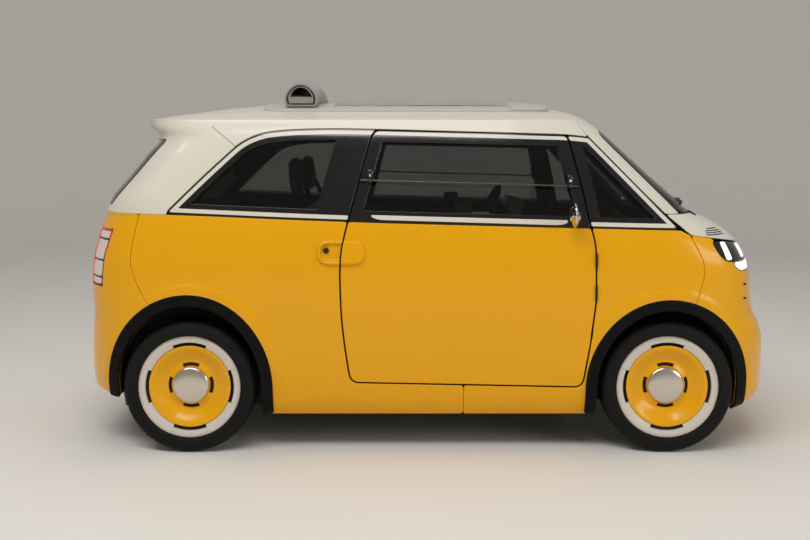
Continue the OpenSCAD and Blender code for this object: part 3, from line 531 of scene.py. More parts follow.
# Name, colour, roughness, spread of the colour, grain, bump and its grain
PAINT = material("body_paint", (236, 168, 0), 0.22, 0.02, 6, 0.02, 500, Coat_Weight=0.12,
                 Specular_IOR_Level=0.3)
CREAM = material("roof_paint", (219, 212, 196), 0.4, 0.015, 9, 0.03, 700, Coat_Weight=0.25)
RINGS_PAINT = material("ring_paint", (212, 203, 190), 0.34, 0.03, 14, 0.03, 600, Coat_Weight=0.2)
BLACK = material("black_gloss", (9, 8, 8), 0.12, 0.2, 20, Coat_Weight=0.3)
PLASTIC = material("black_plastic", (16, 15, 15), 0.48, 0.18, 60, 0.25, 1400)
TRIM = material("trim_plastic", (6, 6, 5), 0.6, 0.15, 50, 0.18, 1200, Specular_IOR_Level=0.15)
LINER = material("liner_felt", (34, 33, 32), 0.85, 0.22, 70, 0.35, 900)
FLOOR = material("floor_coating", (24, 24, 24), 0.7, 0.2, 45, 0.4, 500)
CASE = material("cast_case", (96, 98, 100), 0.5, 0.12, 60, 0.3, 700, Metallic=0.8)
RUBBER = material("tyre_rubber", (11, 10, 9), 0.7, 0.2, 30, 0.2, 900, Specular_IOR_Level=0.25)
SATIN = material("satin_cap", (214, 205, 192), 0.22, 0.04, 4, stretch=(90, 90, 90), Metallic=1.0)
CHROME = material("chrome", (222, 222, 222), 0.05, 0.03, 12, Metallic=1.0)
BAR = material("dark_steel_bar", (92, 88, 86), 0.25, 0.08, 30, Metallic=1.0)
STEEL = material("steel", (104, 104, 106), 0.42, 0.15, 35, 0.1, Metallic=1.0)
CANVAS = material("canvas", (150, 147, 140), 0.85, 0.12, 120, 0.5, 1500, Sheen_Weight=0.3)
PAD = material("pale_plastic", (188, 184, 174), 0.55, 0.05, 40, 0.15, 1200)
FABRIC = material("seat_fabric", (58, 52, 48), 0.9, 0.2, 200, 0.5, 1800, Sheen_Weight=0.4)
LEATHER = material("wheel_leather", (26, 24, 23), 0.55, 0.15, 80, 0.4, 700)
DASH_GREY = material("dash_plastic", (58, 60, 62), 0.5, 0.08, 50, 0.2, 1300)
SCREEN_BLACK = material("display_black", (8, 9, 10), 0.15, 0.2, 15)
GLASS, SCREEN_GLASS = (material(name, (5, 5, 5), 0.03, 0.2, 8, rough_vary=0.015, Alpha=alpha)
                       for name, alpha in (("tinted_glass", 0.43), ("screen_glass", 0.62)))
RED = material("tail_lens", (168, 10, 6), 0.12, 0.08, 60, Coat_Weight=0.5,
               Emission_Color=(0.8, 0.02, 0.01, 1), Emission_Strength=0.35)
WHITE = material("lamp_white", (246, 246, 244), 0.3, 0.02, Emission_Color=(1, 1, 1, 1), Emission_Strength=0.8)
TAILWHITE = material("tail_segment", (208, 190, 186), 0.25, 0.03, 90, Emission_Color=(1, 0.85, 0.8, 1),
                     Emission_Strength=0.1)
# Painted shade: a flat near-black laid where there is only shade, in the wheel slots, the louvre slots, the
# roof seam's gap and the keyhole; the corner sensors' dark centres are drawn in it too
SHADE_DARK = material("painted_shade_dark", (6, 6, 6), 0.7, 0.1)

# Regions of the side view
D, W, RS, FS, BAND, PIL, SCR, LMP = (outline(shares(points), radius) for points, radius in (
    (DOOR, 0.04), (WAIST, 0.02), (REAR_SHUT, 0.01), (FRONT_SHUT, 0.01), (WINDOW, 0.012), (PILLAR, 0.02),
    (SCREEN, 0.03), (LAMP, 0.01)))


def arch(cx, w, h):
    a = np.radians(np.linspace(0, 180, 73))
    bow = np.stack([cx + w * np.cos(a), HUB + h * np.sin(a)], 1)
    return inside(np.concatenate([bow, [(cx - w, -0.1), (cx + w, -0.1)]]))


# Openings of the wheel arches and outer edges of their trims
FA, FT = arch(AXLE, 0.295, 0.324), arch(AXLE, 0.343, 0.372)
RA, RT = arch(-AXLE, 0.301, 0.345), arch(-AXLE, 0.349, 0.393)
FLOOR_Z, SILL = 0.1515, 0.098 * HL
# Height above the lower edge of the rear bumper, which rises behind the wheel
REAR_EDGE = Region(lambda x, y, z: z - np.interp(-x, [1.15, 1.22, 1.303, 1.417], [-1, 0.12, 0.227, 0.2425]))


# Lip above the arch trims: how far it stands out and reaches, its slope, and the heights where it fades in
LIP_OUT, LIP_REACH, LIP_SLOPE, LIP_FROM, LIP_FADE = 0.0075, 0.05, 0.022, 0.22, 0.25


def flare(p):
    """Soft lip above the arch trims."""
    x, y, z = np.moveaxis(p, -1, 0)
    off = np.minimum(np.abs(FT(x, y, z)), np.abs(RT(x, y, z)))
    t = np.clip((LIP_REACH - off) / LIP_SLOPE, 0, 1)
    return LIP_OUT * t * t * (3 - 2 * t) * np.clip((z - LIP_FROM) / LIP_FADE, 0, 1)


def flank(region, x0, x1, z0, z1, step, rise=None):
    """A sheet on the right side, between limits of X and Z."""
    us = np.linspace(x0, x1, int((x1 - x0) / step) + 1)
    vs = np.linspace(z0, z1, int((z1 - z0) / step) + 1)
    return Sheet(skin_side, us, vs, False, region, rise)


def wrap(region, s0, s1, step, rise=None):
    """A sheet right round the body, between two runs up its section."""
    vs = np.linspace(s0, s1, int((s1 - s0) / (0.8 * step)) + 1)
    return Sheet(skin_wrap, wrap_turns(step), vs, True, region, rise)


# Radius of the panels' edges, and how far the panels stay within their solids
R, IN_BODY, IN_ROOF = 0.003, 0.0005, 0.0003
BODY = W & -D - GAP & Z - FLOOR_Z
for name, node, region, box in (
        ("quarter_panel", "rear_quarter", -RS & -RA & SILL - X, (-1.26, 0.16, 0.14, 1.02)),
        ("fender_panel", "front_fender", -FS & -FA & X - SILL, (0.13, 1.17, 0.14, 0.99))):
    sheet = flank((BODY & region) - R - IN_BODY, *box, 0.011, flare)
    pair(Build().panel(sheet, R, WALL, 0, 1), name, [PAINT, PLASTIC], "body_paint", node)
# A door has an outer skin and a smaller inner one, each with a depth
SKIN_T, INNER_T, INNER_AT = 0.015, 0.0295, -0.0155
door, box = D & W - 0.001, (-0.39, 0.71, 0.26, 1.0)
b = Build().panel(flank(door - R, *box, 0.011, flare), R, SKIN_T, 0, 1)
b.panel(flank(door - 0.018, *box, 0.02), R, INNER_T, 1, 1, INNER_AT)
pair(b, "door_skin", [PAINT, PLASTIC], "body_paint", "door_panel", "door")

# Handle: a raised pad on the door, and before it a rimmed dish on the quarter
HANDLE = outline([(-0.465, 0.791), (-0.259, 0.791), (-0.259, 0.899), (-0.465, 0.899)], 0.06)
DISH_X, HANDLE_UP, DISH_DOWN, HANDLE_GAP = -0.362, 0.016, 0.0142, 0.0015


def handle_rise(p):
    r = HANDLE(*np.moveaxis(p, -1, 0))
    up = np.sin(np.clip(r / 0.013, 0, 1) * math.pi / 2)
    down = np.clip((r - 0.012) / 0.015, 0, 1)
    dish = (p[..., 0] < DISH_X) * down * down * (3 - 2 * down)
    return HANDLE_UP * up - DISH_DOWN * dish - 0.0006


def handle_part(region):
    sheet = flank(HANDLE & region, -0.48, -0.25, 0.78, 0.91, 0.003, handle_rise)
    return Build().panel(sheet, 0.0012, 0.006, back=False)


pair(handle_part(D - HANDLE_GAP), "handle_pad", [PAINT], "body_paint", body="door")
both(handle_part(-D - GAP - HANDLE_GAP), "handle_dishes", [PAINT], "body_paint")
seal = flank(D + GAP + 0.004 & 0.01 - D, -0.42, 0.72, 0.24, 1.38, 0.012)
both(Build().panel(seal, 0.001, 0.004, proud=-0.0185), "door_seals", [RUBBER], "black_plastic")

# Panels round the ends of the body, the roof and the glass at both ends
S_WAIST, FOOT_Z = RUN[16], 0.68 * BH
TAIL = (0.62 * HW, 0.86 * HW, 0.471 * BH, 0.636 * BH)
lamp_hole = LMP & ABS_Y - 0.47 * HW
tail_hole = ABS_Y - TAIL[0] & TAIL[1] - ABS_Y & Z - TAIL[2] & TAIL[3] - Z & -0.8 * HL - X
tow_hole = 0.02 - Region(lambda x, y, z: np.hypot(y + 0.285, z - HUB))
# Room for the black panel at the foot of the windscreen
plenum = Z - 0.6715 * BH & FOOT_Z - Z & 0.5 - ABS_Y & X - 1.0
for name, node, look, slot, region, s0, s1, less, rise in (
        ("front_fascia_skin", "front_fascia", PAINT, "body_paint", W & FS & -FA & -lamp_hole & -tow_hole,
         0, S_WAIST, IN_BODY, flare),
        ("rear_fascia_skin", "rear_fascia", PAINT, "body_paint", W & RS & -RA & REAR_EDGE & -tail_hole,
         0, S_WAIST + 0.02, IN_BODY, flare),
        ("cowl_skin", "cowl", CREAM, "roof_paint", -W & PIL & FOOT_Z - Z & -plenum,
         RUN[10], S_WAIST + 0.03, IN_ROOF, None),
        ("screen_frame_skin", "windscreen_frame", CREAM, "roof_paint", PIL & -SCR & -W & Z - FOOT_Z,
         RUN[14], RUN[-1], IN_ROOF, None)):
    sheet = wrap(region - R - less, s0, s1, 0.012, rise)
    Build().panel(sheet, R, WALL, 0, 1).piece(name, [look, PLASTIC], slot, node)
b = Build().panel(wrap(SCR - R - IN_ROOF, RUN[15], RUN[25], 0.02), R, 0.008)
b.piece("windscreen_pane", [SCREEN_GLASS], "glass", "windscreen")

GATE_HALF = [(0.66, 0.708), (0.685, 0.722), (0.615, 0.878), (0.585, 0.89)]
GATE = outline([(s * y * HW, z * BH) for s, half in ((1, GATE_HALF), (-1, GATE_HALF[::-1])) for y, z in half],
               0.03, (1, 2))
behind = -0.5 * HL - X
# Black border of the rear glass, round the corners of the roof shell
past_line = Region(lambda x, y, z: -0.764 * (x + 1.13) + 0.645 * (z - 1.2988))
border = past_line & -GATE - GAP & Z - 0.703 * BH & 0.893 * BH - Z & behind & ABS_Y - 0.3
shell = (-W & -BAND & -PIL & -border & (-GATE - GAP | -behind)) - R - IN_ROOF
ROOF_T, CROWN = 0.04, RUN[-1] - 1e-4
b = Build().panel(wrap(shell, RUN[15], CROWN, 0.016), R, ROOF_T, 0, 1, back=False)
lining = wrap(shell & X + 1.0, RUN[15], CROWN, 0.03)
b.add(lining.v - lining.n * ROOF_T, -lining.n, [f[::-1] for f in lining.faces], 1)
b.panel(wrap(border - 0.0015, RUN[15], RUN[23], 0.008), 0.0012, 0.012, 2)
b.piece("roof_skin", [CREAM, PLASTIC, BLACK], "roof_paint", "roof_shell")
b = Build().panel(wrap((GATE & behind) - R, RUN[15], RUN[21], 0.02), R, 0.024)
b.piece("tailgate_pane", [GLASS], "glass", "tailgate", body="tailgate")

# Side windows: black frames, a cream strip let into them, and the glass set back
FRAME_W = 0.048
off_door = BAND & -D - GAP
rear_pane = (BAND & -D - 0.095 & -X) - FRAME_W
front_pane = (off_door & X) - FRAME_W
door_window = D & -W


def glass(region, x0, x1, z0, z1):
    return Build().panel(flank(region, x0, x1, z0, z1, 0.015), 0.0005, 0.008, proud=-0.006)


b = Build()
for window, box in ((off_door & -X & -rear_pane, (-1.12, -0.2, 0.95, 1.37)),
                    (off_door & X & -front_pane, (0.55, 1.08, 0.92, 1.36))):
    b.panel(flank(window - R - IN_ROOF, *box, 0.009), R, WALL)
both(b, "window_surrounds", [BLACK], "black_gloss", "window_frames")
b = glass(rear_pane, -1.05, -0.3, 0.98, 1.34).join(glass(front_pane, 0.6, 1.0, 0.95, 1.32))
both(b, "window_panes", [GLASS], "glass", "window_glass")
frame_band, box = door_window & FRAME_W - door_window, (-0.34, 0.68, 0.93, 1.36)
b = Build().panel(flank(frame_band - R, *box, 0.009), R, SKIN_T)
b.panel(flank((frame_band & D - 0.016) - R, *box, 0.012), R, INNER_T, proud=INNER_AT)
pair(b, "door_window_frame", [BLACK], "black_gloss", "door_frame", "door")
b = glass(door_window - FRAME_W, -0.3, 0.65, 0.96, 1.34)
pair(b, "door_window_pane", [GLASS], "glass", "door_glass", "door")

TRIM_EDGE = 0.004
b = Build()
for outer, inner, x0, x1 in ((FT, FA, 0.6, 1.4), (RT, RA, -1.4, -0.6)):
    region = (outer & -inner & Z - 0.16 & REAR_EDGE + TRIM_EDGE) - TRIM_EDGE
    b.panel(flank(region, x0, x1, 0.15, 0.69, 0.009), TRIM_EDGE, 0.0098, proud=0.01)
both(b, "arch_trim_bands", [TRIM], "black_plastic", "arch_trims")

# Cream strips let into the black of the windows, and the frame of the door's lower flap
STRIP_LOW, STRIP_HIGH = 0.0085, 0.0255
FLAP = outline([(-0.263, 1.2), (-0.265, 0.9775), (0.606, 0.9525), (0.604, 1.2)], 0.075)


def bar_z(x):
    return 1.138 - 0.0276 * (x + 0.286)


def strip(region, x0, x1, z0, z1, proud=0.0022):
    sheet = flank(region - 0.001, x0, x1, z0, z1, 0.006)
    return Build().panel(sheet, 0.001, 0.004, proud=proud, back=False)


fixed = BAND - STRIP_LOW & STRIP_HIGH - BAND & -D - GAP - 0.001
b = strip(fixed & -X, -1.12, -0.2, 0.95, 1.37).join(strip(fixed & X, 0.5, 1.08, 0.92, 1.36))
both(b, "window_strips", [CREAM], "roof_paint")
b = strip(BAND - STRIP_LOW - 0.002 & STRIP_HIGH - BAND & D - 0.002 & Z - 1.2, -0.3, 0.65, 1.28, 1.36)
b.join(strip(-W - 0.009 & W + 0.03 & FLAP - 0.003 & X + 0.24 & 0.575 - X, -0.3, 0.65, 0.93, 1.02, 0.0045))
pair(b, "door_strips", [CREAM], "roof_paint", body="door")
under_bar = Region(lambda x, y, z: bar_z(x) - 0.004 - z)
region = (FLAP & FRAME_W - door_window & under_bar & -W - 0.004) - 0.002
b = Build().panel(flank(region, -0.3, 0.65, 0.93, 1.15, 0.006), 0.002, 0.0024, proud=0.0024, back=False)
pair(b, "door_flap", [BLACK], "black_gloss", body="door")


# Bar across the door glass with its clamps and knobs, and the lens-shaped mirror
def on_side(x, z, out=0.0):
    x, z = np.array([x]), np.array([z])
    return (skin_side(x, z) + normals_at(skin_side, x, z) * out)[0]


CLAMP_TOP = [(0.0001, 0.012), (0.005, 0.0105), (0.008, 0.006), (0.0085, 0.0), (0.011, -0.003),
             (0.012, -0.008)]
KNOB = [(0.0001, 0.019), (0.006, 0.0175), (0.0105, 0.012), (0.012, 0.004), (0.0105, -0.004), (0.009, -0.011)]
MIRROR = [(0.0001, 0.026), (0.014, 0.0245), (0.028, 0.0195), (0.04, 0.012), (0.049, 0.0045), (0.053, 0.001),
          (0.054, -0.001), (0.053, -0.003), (0.05, -0.0035), (0.047, -0.0045), (0.036, -0.012),
          (0.022, -0.018), (0.0001, -0.0215)]
bar = [on_side(x, bar_z(x), 0.02) for x in np.linspace(-0.282, 0.618, 24)]
b = Build().solid(*tube(bar, 0.0036, 12), 1)
for x in (-0.243, 0.588):
    top, c = on_side(x, bar_z(x) + 0.024, 0.008), on_side(x, bar_z(x), 0.012)
    b.solid(*block((0.028, 0.022, 0.05), 0.009, at_place(*top)), 2)
    b.solid(*turned(CLAMP_TOP, lambda u, v, h: (top[0] + u, top[1] - 0.011 - h, top[2] + v), 24))
    b.solid(*turned(KNOB, lambda u, v, h: (c[0] + u, c[1] - h, c[2] + v), 24, 2))
mx, my, mz = 0.395 * HL, -1.06 * HW, 0.683 * BH
b.solid(*turned(MIRROR, lambda u, v, h: (mx + h, my + u, mz + v), 48))
foot = on_side(mx, mz - 0.012, 0.002)[1]
b.solid(*tube([(mx + 0.008, my + 0.03, mz - 0.004), (mx + 0.008, my + 0.052, mz - 0.01),
               (mx + 0.006, 0.5 * (my + 0.052 + foot), mz - 0.014), (mx, foot, mz - 0.016)],
              [0.006, 0.0065, 0.0075, 0.01]))
pair(b, "window_bar_mirror", [CHROME, BAR, BLACK], "chrome", "door_fittings", "door")

# Wheels: cream ring with four slots, dished yellow cover with four more, satin cap, and the tyre
RING = [(0.2146, 0.058), (0.2138, 0.0612), (0.21, 0.063), (0.199, 0.0618), (0.186, 0.0578), (0.1735, 0.053),
        (0.1724, 0.048)]
BOWL = [(0.1714, 0.05), (0.1695, 0.0515), (0.164, 0.0512), (0.156, 0.0482), (0.146, 0.0425), (0.134, 0.0345),
        (0.121, 0.0265), (0.109, 0.0205), (0.101, 0.018), (0.096, 0.019), (0.0885, 0.0225), (0.0805, 0.0262),
        (0.078, 0.0268)]
CAP = [(0.0772, 0.0262), (0.0768, 0.03), (0.075, 0.0335), (0.07, 0.0362), (0.056, 0.0392), (0.038, 0.0412),
       (0.019, 0.0422), (0.0, 0.0425)]
RIM = [(0.2146, 0.058), (0.2148, -0.072), (0.21, -0.0725), (0.193, -0.0715), (0.191, -0.069), (0.191, 0.01),
       (0.185, 0.014), (0.08, 0.002), (0.047, 0.0), (0.046, -0.002), (0.03, -0.002), (0.016, 0.002)]
SLOT_TURN, TURNS = 22.5, 96
FACE, BOWL_FROM, CAP_FROM = RING + BOWL + CAP, len(RING), len(RING) + len(BOWL)
# Half of the tyre's section, and for each row its kind: side, edge, groove, middle or centre
SECTION = [(0.2152, 0.0685), (0.2172, 0.0708), (0.224, 0.0721), (0.2252, 0.073), (0.2285, 0.073),
           (0.2297, 0.0723), (0.239, 0.0723), (0.249, 0.071), (0.257, 0.0686), (0.263, 0.0652),
           (0.2682, 0.0602), (0.2722, 0.054), (0.2752, 0.046), (0.277, 0.036), (0.2773, 0.0318),
           (0.2778, 0.023), (0.278, 0.015), (0.278, 0.0108), (0.278, 0.0)]
KINDS = "s" * 10 + "eeegmmgc"
KINDS += KINDS[::-1]
SEAT = [(0.2152, 0.0685), (0.215, 0.06), (0.215, -0.06), (0.2152, -0.0685)]
PITCHES, PITCH_PARTS = 40, (0, 0.14, 0.5, 0.62)


def at_wheel(x, y, h):
    return (AXLE + x, -TYRE_Y - h, HUB + y)


def face_cell(i, j):
    """Level and look of a cell of the wheel's face."""
    slot = abs(((j + 0.5) * 360 / TURNS + 45) % 90 - 45) < SLOT_TURN
    r = FACE[i][0]
    if i < BOWL_FROM:
        # Look 3 is painted shade: the floors of the slots, and the narrow step between ring and bowl all
        # round, are near-black to stand for the shade in them
        if slot and r <= 0.1861:
            return (-0.014 if r > 0.173 else 0, 3)
        return (-0.0024 if slot and i < 4 else 0, 0 if i < BOWL_FROM - 1 else 3)
    if i < CAP_FROM:
        return (-0.01, 3) if slot and 0.0805 < r <= 0.0961 else (0, 1)
    return (0, 2)


def wheel():
    def point(i, j, level):
        a = 2 * math.pi * j / TURNS
        r, h = FACE[i]
        return at_wheel(r * math.cos(a), r * math.sin(a), h + level)
    b = Build().solid(*cells(point, len(FACE) - 1, TURNS, face_cell))
    return b.solid(*turned(RIM, at_wheel, 64, 4))


def tyre():
    profile = SECTION + [(r, -h) for r, h in SECTION[-2::-1]]

    def point(i, j, level):
        a = 2 * math.pi / PITCHES * (j // 4 + PITCH_PARTS[j % 4])
        r = profile[i][0] + level
        return at_wheel(r * math.cos(a), r * math.sin(a), profile[i][1])

    def cell(i, j):
        deep = {"g": -0.006, "e": -0.004 if j % 4 == 0 else 0, "m": -0.005 if j % 4 == 2 else 0}
        return deep.get(KINDS[i], 0), 0
    b = Build().solid(*cells(point, len(profile) - 1, 4 * PITCHES, cell))
    return b.solid(*turned(SEAT, at_wheel, 64))


for right, name, mats, slot in ((wheel(), "wheel", [RINGS_PAINT, PAINT, SATIN, SHADE_DARK, STEEL], "wheel_paint"),
                                (tyre(), "tyre", [RUBBER], "tyre_rubber")):
    for end, part in (("front", right), ("rear", right.moved(-2 * AXLE))):
        for side, mirrored in (("right", part), ("left", part.flip())):
            where = "_%s_%s" % (end, side)
            mirrored.piece(name + where + "_visual", mats, slot, name + where, body="wheel" + where)

# Headlamps: black unit with two slanted light bars, and a lower lamp with a bright rim
LAMP_BARS = [[(0.813, 0.603), (0.8295, 0.603), (0.851, 0.549), (0.832, 0.549)],
             [(0.873, 0.601), (0.889, 0.601), (0.906, 0.551), (0.893, 0.551)],
             [(0.855, 0.541), (0.96, 0.541), (0.96, 0.5165), (0.881, 0.5165), (0.865, 0.526)]]
S_LAMP = (RUN[8], RUN[14])
unit_face = lamp_hole & W - 0.002 & FS
b = Build().panel(wrap(unit_face - 0.002, *S_LAMP, 0.009), 0.001, 0.036, proud=-0.005)
for points in LAMP_BARS:
    bar = outline(shares(points), 0.008)
    b.panel(wrap((bar & unit_face - 0.004) - 0.0025, *S_LAMP, 0.005), 0.0022, 0.0045, 1, proud=-0.0008)
rim = bar + 0.0035 & 0.0005 - bar & unit_face - 0.0015
b.panel(wrap(rim, *S_LAMP, 0.004), 0.0005, 0.003, 2, proud=-0.0022)
b.piece("headlamp_units", [BLACK, WHITE, CHROME], "lamp_lens", "headlamps")

# Tail lamps: red outline round pale segments with black cross bars
S_TAIL = (RUN[8], RUN[15])
TAIL_RED, TAIL_BAR, TAIL_CUTS = 0.0065, 0.0045, (0.157, 0.454, 0.822)
window = tail_hole - TAIL_RED & ABS_Y - TAIL[0] - 0.052
segments = window - 0.003 & RS
for k in TAIL_CUTS:
    bar_at = Z - TAIL[2] - k * (TAIL[3] - TAIL[2])
    segments = segments & (bar_at | -bar_at) - TAIL_BAR
lens = tail_hole & RS
b = Build().panel(wrap(lens - 0.002, *S_TAIL, 0.01), 0.001, 0.03, 1, proud=-0.006)
b.panel(wrap((lens & -window) - 0.002, *S_TAIL, 0.006), 0.002, 0.006)
b.panel(wrap(segments - 0.002, *S_TAIL, 0.006), 0.002, 0.004, 2, proud=-0.002)
b.piece("tail_lamp_units", [RED, BLACK, TAILWHITE], "tail_lens", "tail_lamps")


# Black panel at the foot of the windscreen, wipers, louvres in the cowl's sides, keyhole and sensors
def skin_end(y, z, out=0.0):
    """Point at the front of the body at Y and Z."""
    _, mid, reach, w, p, q = section(RINGS[:, 0], z / BH)
    return np.array((mid + reach * (1 - min(abs(y) / w, 1) ** q) ** (1 / p) + out, y, z))


b = Build().panel(wrap(plenum - R - IN_ROOF, RUN[13], RUN[17], 0.01), R, 0.02)
b.piece("screen_foot_panel", [TRIM], "black_plastic")
PIVOT = [(0.0, 0.016), (0.01, 0.015), (0.015, 0.01), (0.017, 0.0), (0.017, -0.014)]
b = Build()
for s in (-1, 1):
    blade = [skin_end(y, 0.692 * BH + 0.016, 0.008) for y in np.linspace(s * 0.02, s * 0.44, 16)]
    spine = [p + (0.006, 0, 0.006) for p in blade[2:-2]]
    thick = np.interp(np.linspace(0, 1, len(spine)), [0, 0.5, 1], [0.003, 0.006, 0.003])
    foot = skin_end(s * 0.045, 0.676 * BH)
    arm = [foot + (0, 0, 0.004), foot + (-0.002, s * 0.02, 0.02), blade[4] + (0.015, 0, 0.004),
           blade[8] + (0.012, 0, 0.01)]
    b.solid(*tube(blade, 0.005, 10)).solid(*tube(spine, thick, 10))
    b.solid(*tube(arm, [0.009, 0.0085, 0.006, 0.005], 12))
    b.solid(*turned(PIVOT, lambda u, v, h: foot + (u, v, h), 24))
b.piece("wiper_arms", [PLASTIC], "black_plastic", "wipers")


def ribbon(path, width, low, high, m=0):
    """A raised band along a path of X and Z on the side of the body."""
    p = np.array(path, float)
    t = unit(np.gradient(p, axis=0))
    side = np.stack([-t[:, 1], t[:, 0]], 1) * width / 2
    rows = []
    for e, out in ((1, low), (0.85, high), (-0.85, high), (-1, low)):
        x, z = (p + side * e).T
        rows.append(skin_side(x, z) + normals_at(skin_side, x, z) * out)
    n = len(p)
    ends = [[0, n, 2 * n, 3 * n], [n - 1, 4 * n - 1, 3 * n - 1, 2 * n - 1]]
    return Build().solid(np.concatenate(rows), grid_faces(4, n, False) + ends, m)


LOUVRES = [(0.776, 0.812, 0.6355), (0.771, 0.822, 0.63), (0.77, 0.83, 0.6245), (0.772, 0.834, 0.619)]
b = Build()
# Each louvre: a dark sliver of painted shade for its open slot, and a raised cream lip above it
for x0, x1, z in LOUVRES:
    xs = np.linspace(x0, x1, 12) * HL
    b.join(ribbon([(x, z * BH + 0.0022) for x in xs], 0.0045, -0.001, 0.0004, 1))
    b.join(ribbon([(x, z * BH + 0.0058) for x in xs], 0.004, -0.001, 0.0022))
both(b, "cowl_louvres", [CREAM, SHADE_DARK], "roof_paint")
# Seam between the roof and the rear pillar: a thin near-black ribbon, painted shade of the gap between the
# panels
seam = np.stack([np.linspace(-0.914, -0.803, 14), np.linspace(1.367, 1.277, 14)], 1)
both(ribbon(seam, 0.0022, -0.001, 0.0003), "roof_side_seam_shade", [SHADE_DARK], "roof_paint")


def stud(x, z, r):
    """A small round fitting on the side of the body."""
    c, n = on_side(x, z), normals_at(skin_side, np.array([x]), np.array([z]))[0]
    side = unit(np.cross(n, (0, 0, 1.0)))
    up = np.cross(side, n)
    # Look 1, the flat centre, is near-black: on the door locks it is painted shade for the keyhole; the
    # corner sensors get the same dark centre
    profile = [(0.0, 0.009), (0.45 * r, 0.009), (0.5 * r, 0.0098), (0.82 * r, 0.0098), (r, 0.0085),
               (1.04 * r, 0.002)]
    return Build().solid(*turned(profile, lambda u, v, h: c + side * u + up * v + n * h, 28, [1, 1, 0, 0, 0]))


both(stud(-0.424, 0.854, 0.012), "door_locks", [PLASTIC, SHADE_DARK], "black_plastic")
b = stud(1.338, 0.7, 0.0045).join(stud(1.338, 0.641, 0.0045))
both(b, "corner_sensors", [PLASTIC, SHADE_DARK], "black_plastic")

# Roof: pad with the deflector, canvas panel laid on it, and the canvas rolled back to its rear end
PAD_Y, PAD_X = 0.28 * 2 * HW, (-0.483 * HL, 0.359 * HL)
DEFLECTOR_X, PAD_EDGE, S_CROWN = 0.242 * HL, 0.008, (RUN[23], RUN[-1])
on_roof = Z - 0.95 * BH
pad = outline([(PAD_X[0], -PAD_Y), (PAD_X[1], -PAD_Y), (PAD_X[1], PAD_Y), (PAD_X[0], PAD_Y)],
              0.09, (0, 1)) & on_roof
b = Build().panel(wrap(pad - PAD_EDGE, *S_CROWN, 0.022), PAD_EDGE, 0.0097, proud=0.0098, back=False)
b.panel(wrap((pad & X - DEFLECTOR_X) - PAD_EDGE, *S_CROWN, 0.018), PAD_EDGE, 0.01, proud=0.0178, back=False)
b.piece("roof_pad_deflector", [PAD], "roof_paint", "roof_pad")

CLOTH_X, CLOTH_Y = (-0.415, DEFLECTOR_X - 0.012), PAD_Y - 0.11


def cloth_rise(p):
    """Soft waves between the seams of the laid canvas."""
    u = (p[..., 0] - CLOTH_X[0]) / (CLOTH_X[1] - CLOTH_X[0])
    return 0.0012 * np.sin(u * math.pi * 5) ** 2 + 0.0006 * np.sin(p[..., 1] * 31 + 7 * u)


cloth = X - CLOTH_X[0] & CLOTH_X[1] - X & CLOTH_Y - ABS_Y & on_roof
b = Build().panel(wrap(cloth, *S_CROWN, 0.02, cloth_rise), 0.001, 0.002, proud=0.0125)
canvas = b.piece("roof_canvas", [CANVAS], "canvas")

# Sewn strip along the middle of the laid canvas
SEAM_N, SEAM_W, SEAM_LOW, SEAM_HIGH = 40, 0.016, 0.0112, 0.0152
xs = np.linspace(CLOTH_X[0] + 0.004, CLOTH_X[1] - 0.004, SEAM_N)
zs = BH * np.interp(xs / HL, [0.21, 0.226, 0.2525, 0.312], [1.0002, 1.0, 0.9993, 0.995])
rows = [np.stack([xs, np.full(SEAM_N, y * SEAM_W), zs + h], 1)
        for y, h in ((-0.5, SEAM_LOW), (-0.36, SEAM_HIGH), (0.36, SEAM_HIGH), (0.5, SEAM_LOW))]
under = [[k + 1, k, 3 * SEAM_N + k, 3 * SEAM_N + k + 1] for k in range(SEAM_N - 1)]
ends = [[k * SEAM_N for k in range(4)], [k * SEAM_N - 1 for k in (4, 3, 2, 1)]]
b = Build().solid(np.concatenate(rows), grid_faces(4, SEAM_N, False) + ends + under)
b.piece("canvas_seam", [CANVAS], "canvas")

ROLL_X, ROLL_BEND, ROLL_HALF = -0.371 * HL, 1.57 * BH, 0.5 * HW
ROLL_FOOT, ROLL_STEPS = BH + 0.0105, 64


def d_loop(r, mid, low, n=44):
    """Outline of a roll with a flat underside."""
    a0 = math.asin((low - mid) / r)
    a = np.linspace(a0, math.pi - a0, n)
    arc = np.stack([r * np.cos(a), mid + r * np.sin(a)], 1)
    return np.concatenate([arc, np.linspace(arc[-1], arc[0], 12)[1:-1]])


def roll_layer(outer, inner, wave):
    """One turn of the roll: a bent tube with rippled walls and soft ends."""
    n, turn = len(outer), math.asin(ROLL_HALF / ROLL_BEND)
    v, f = [], []
    for k in range(ROLL_STEPS + 1):
        t = 2 * k / ROLL_STEPS - 1
        end = 0.0035 * max(0, abs(t) - 0.94) / 0.06
        for line, sign in ((outer, 1), (inner, -1)):
            c = line.mean(0)
            for q, (u, w) in enumerate(line):
                ripple = 0.0011 * math.sin(19 * t + wave + 0.35 * q) * (w > 0.02)
                grow = 1 + (ripple - sign * end) / 0.06
                r = ROLL_BEND + max(c[1] + (w - c[1]) * grow, 0.0004)
                v.append((ROLL_X + c[0] + (u - c[0]) * grow, r * math.sin(turn * t),
                          ROLL_FOOT - ROLL_BEND + r * math.cos(turn * t)))
    for q in range(n):
        q2 = (q + 1) % n
        f += [[r * n + q, r * n + q2, (r + 2) * n + q2, (r + 2) * n + q] for r in range(2 * ROLL_STEPS)]
        f += [[r * n + q, r * n + q2, (r + 1) * n + q2, (r + 1) * n + q] for r in (0, 2 * ROLL_STEPS)]
    return v, f


b = Build().solid(*roll_layer(d_loop(0.0735, 0.0335, 0.0005), d_loop(0.0605, 0.0345, 0.0125), 0.0))
b.solid(*roll_layer(d_loop(0.0575, 0.0355, 0.0155), d_loop(0.0465, 0.0405, 0.0435), 1.3))
b.piece("canvas_roll_up", [CANVAS], "canvas", "canvas_roll")

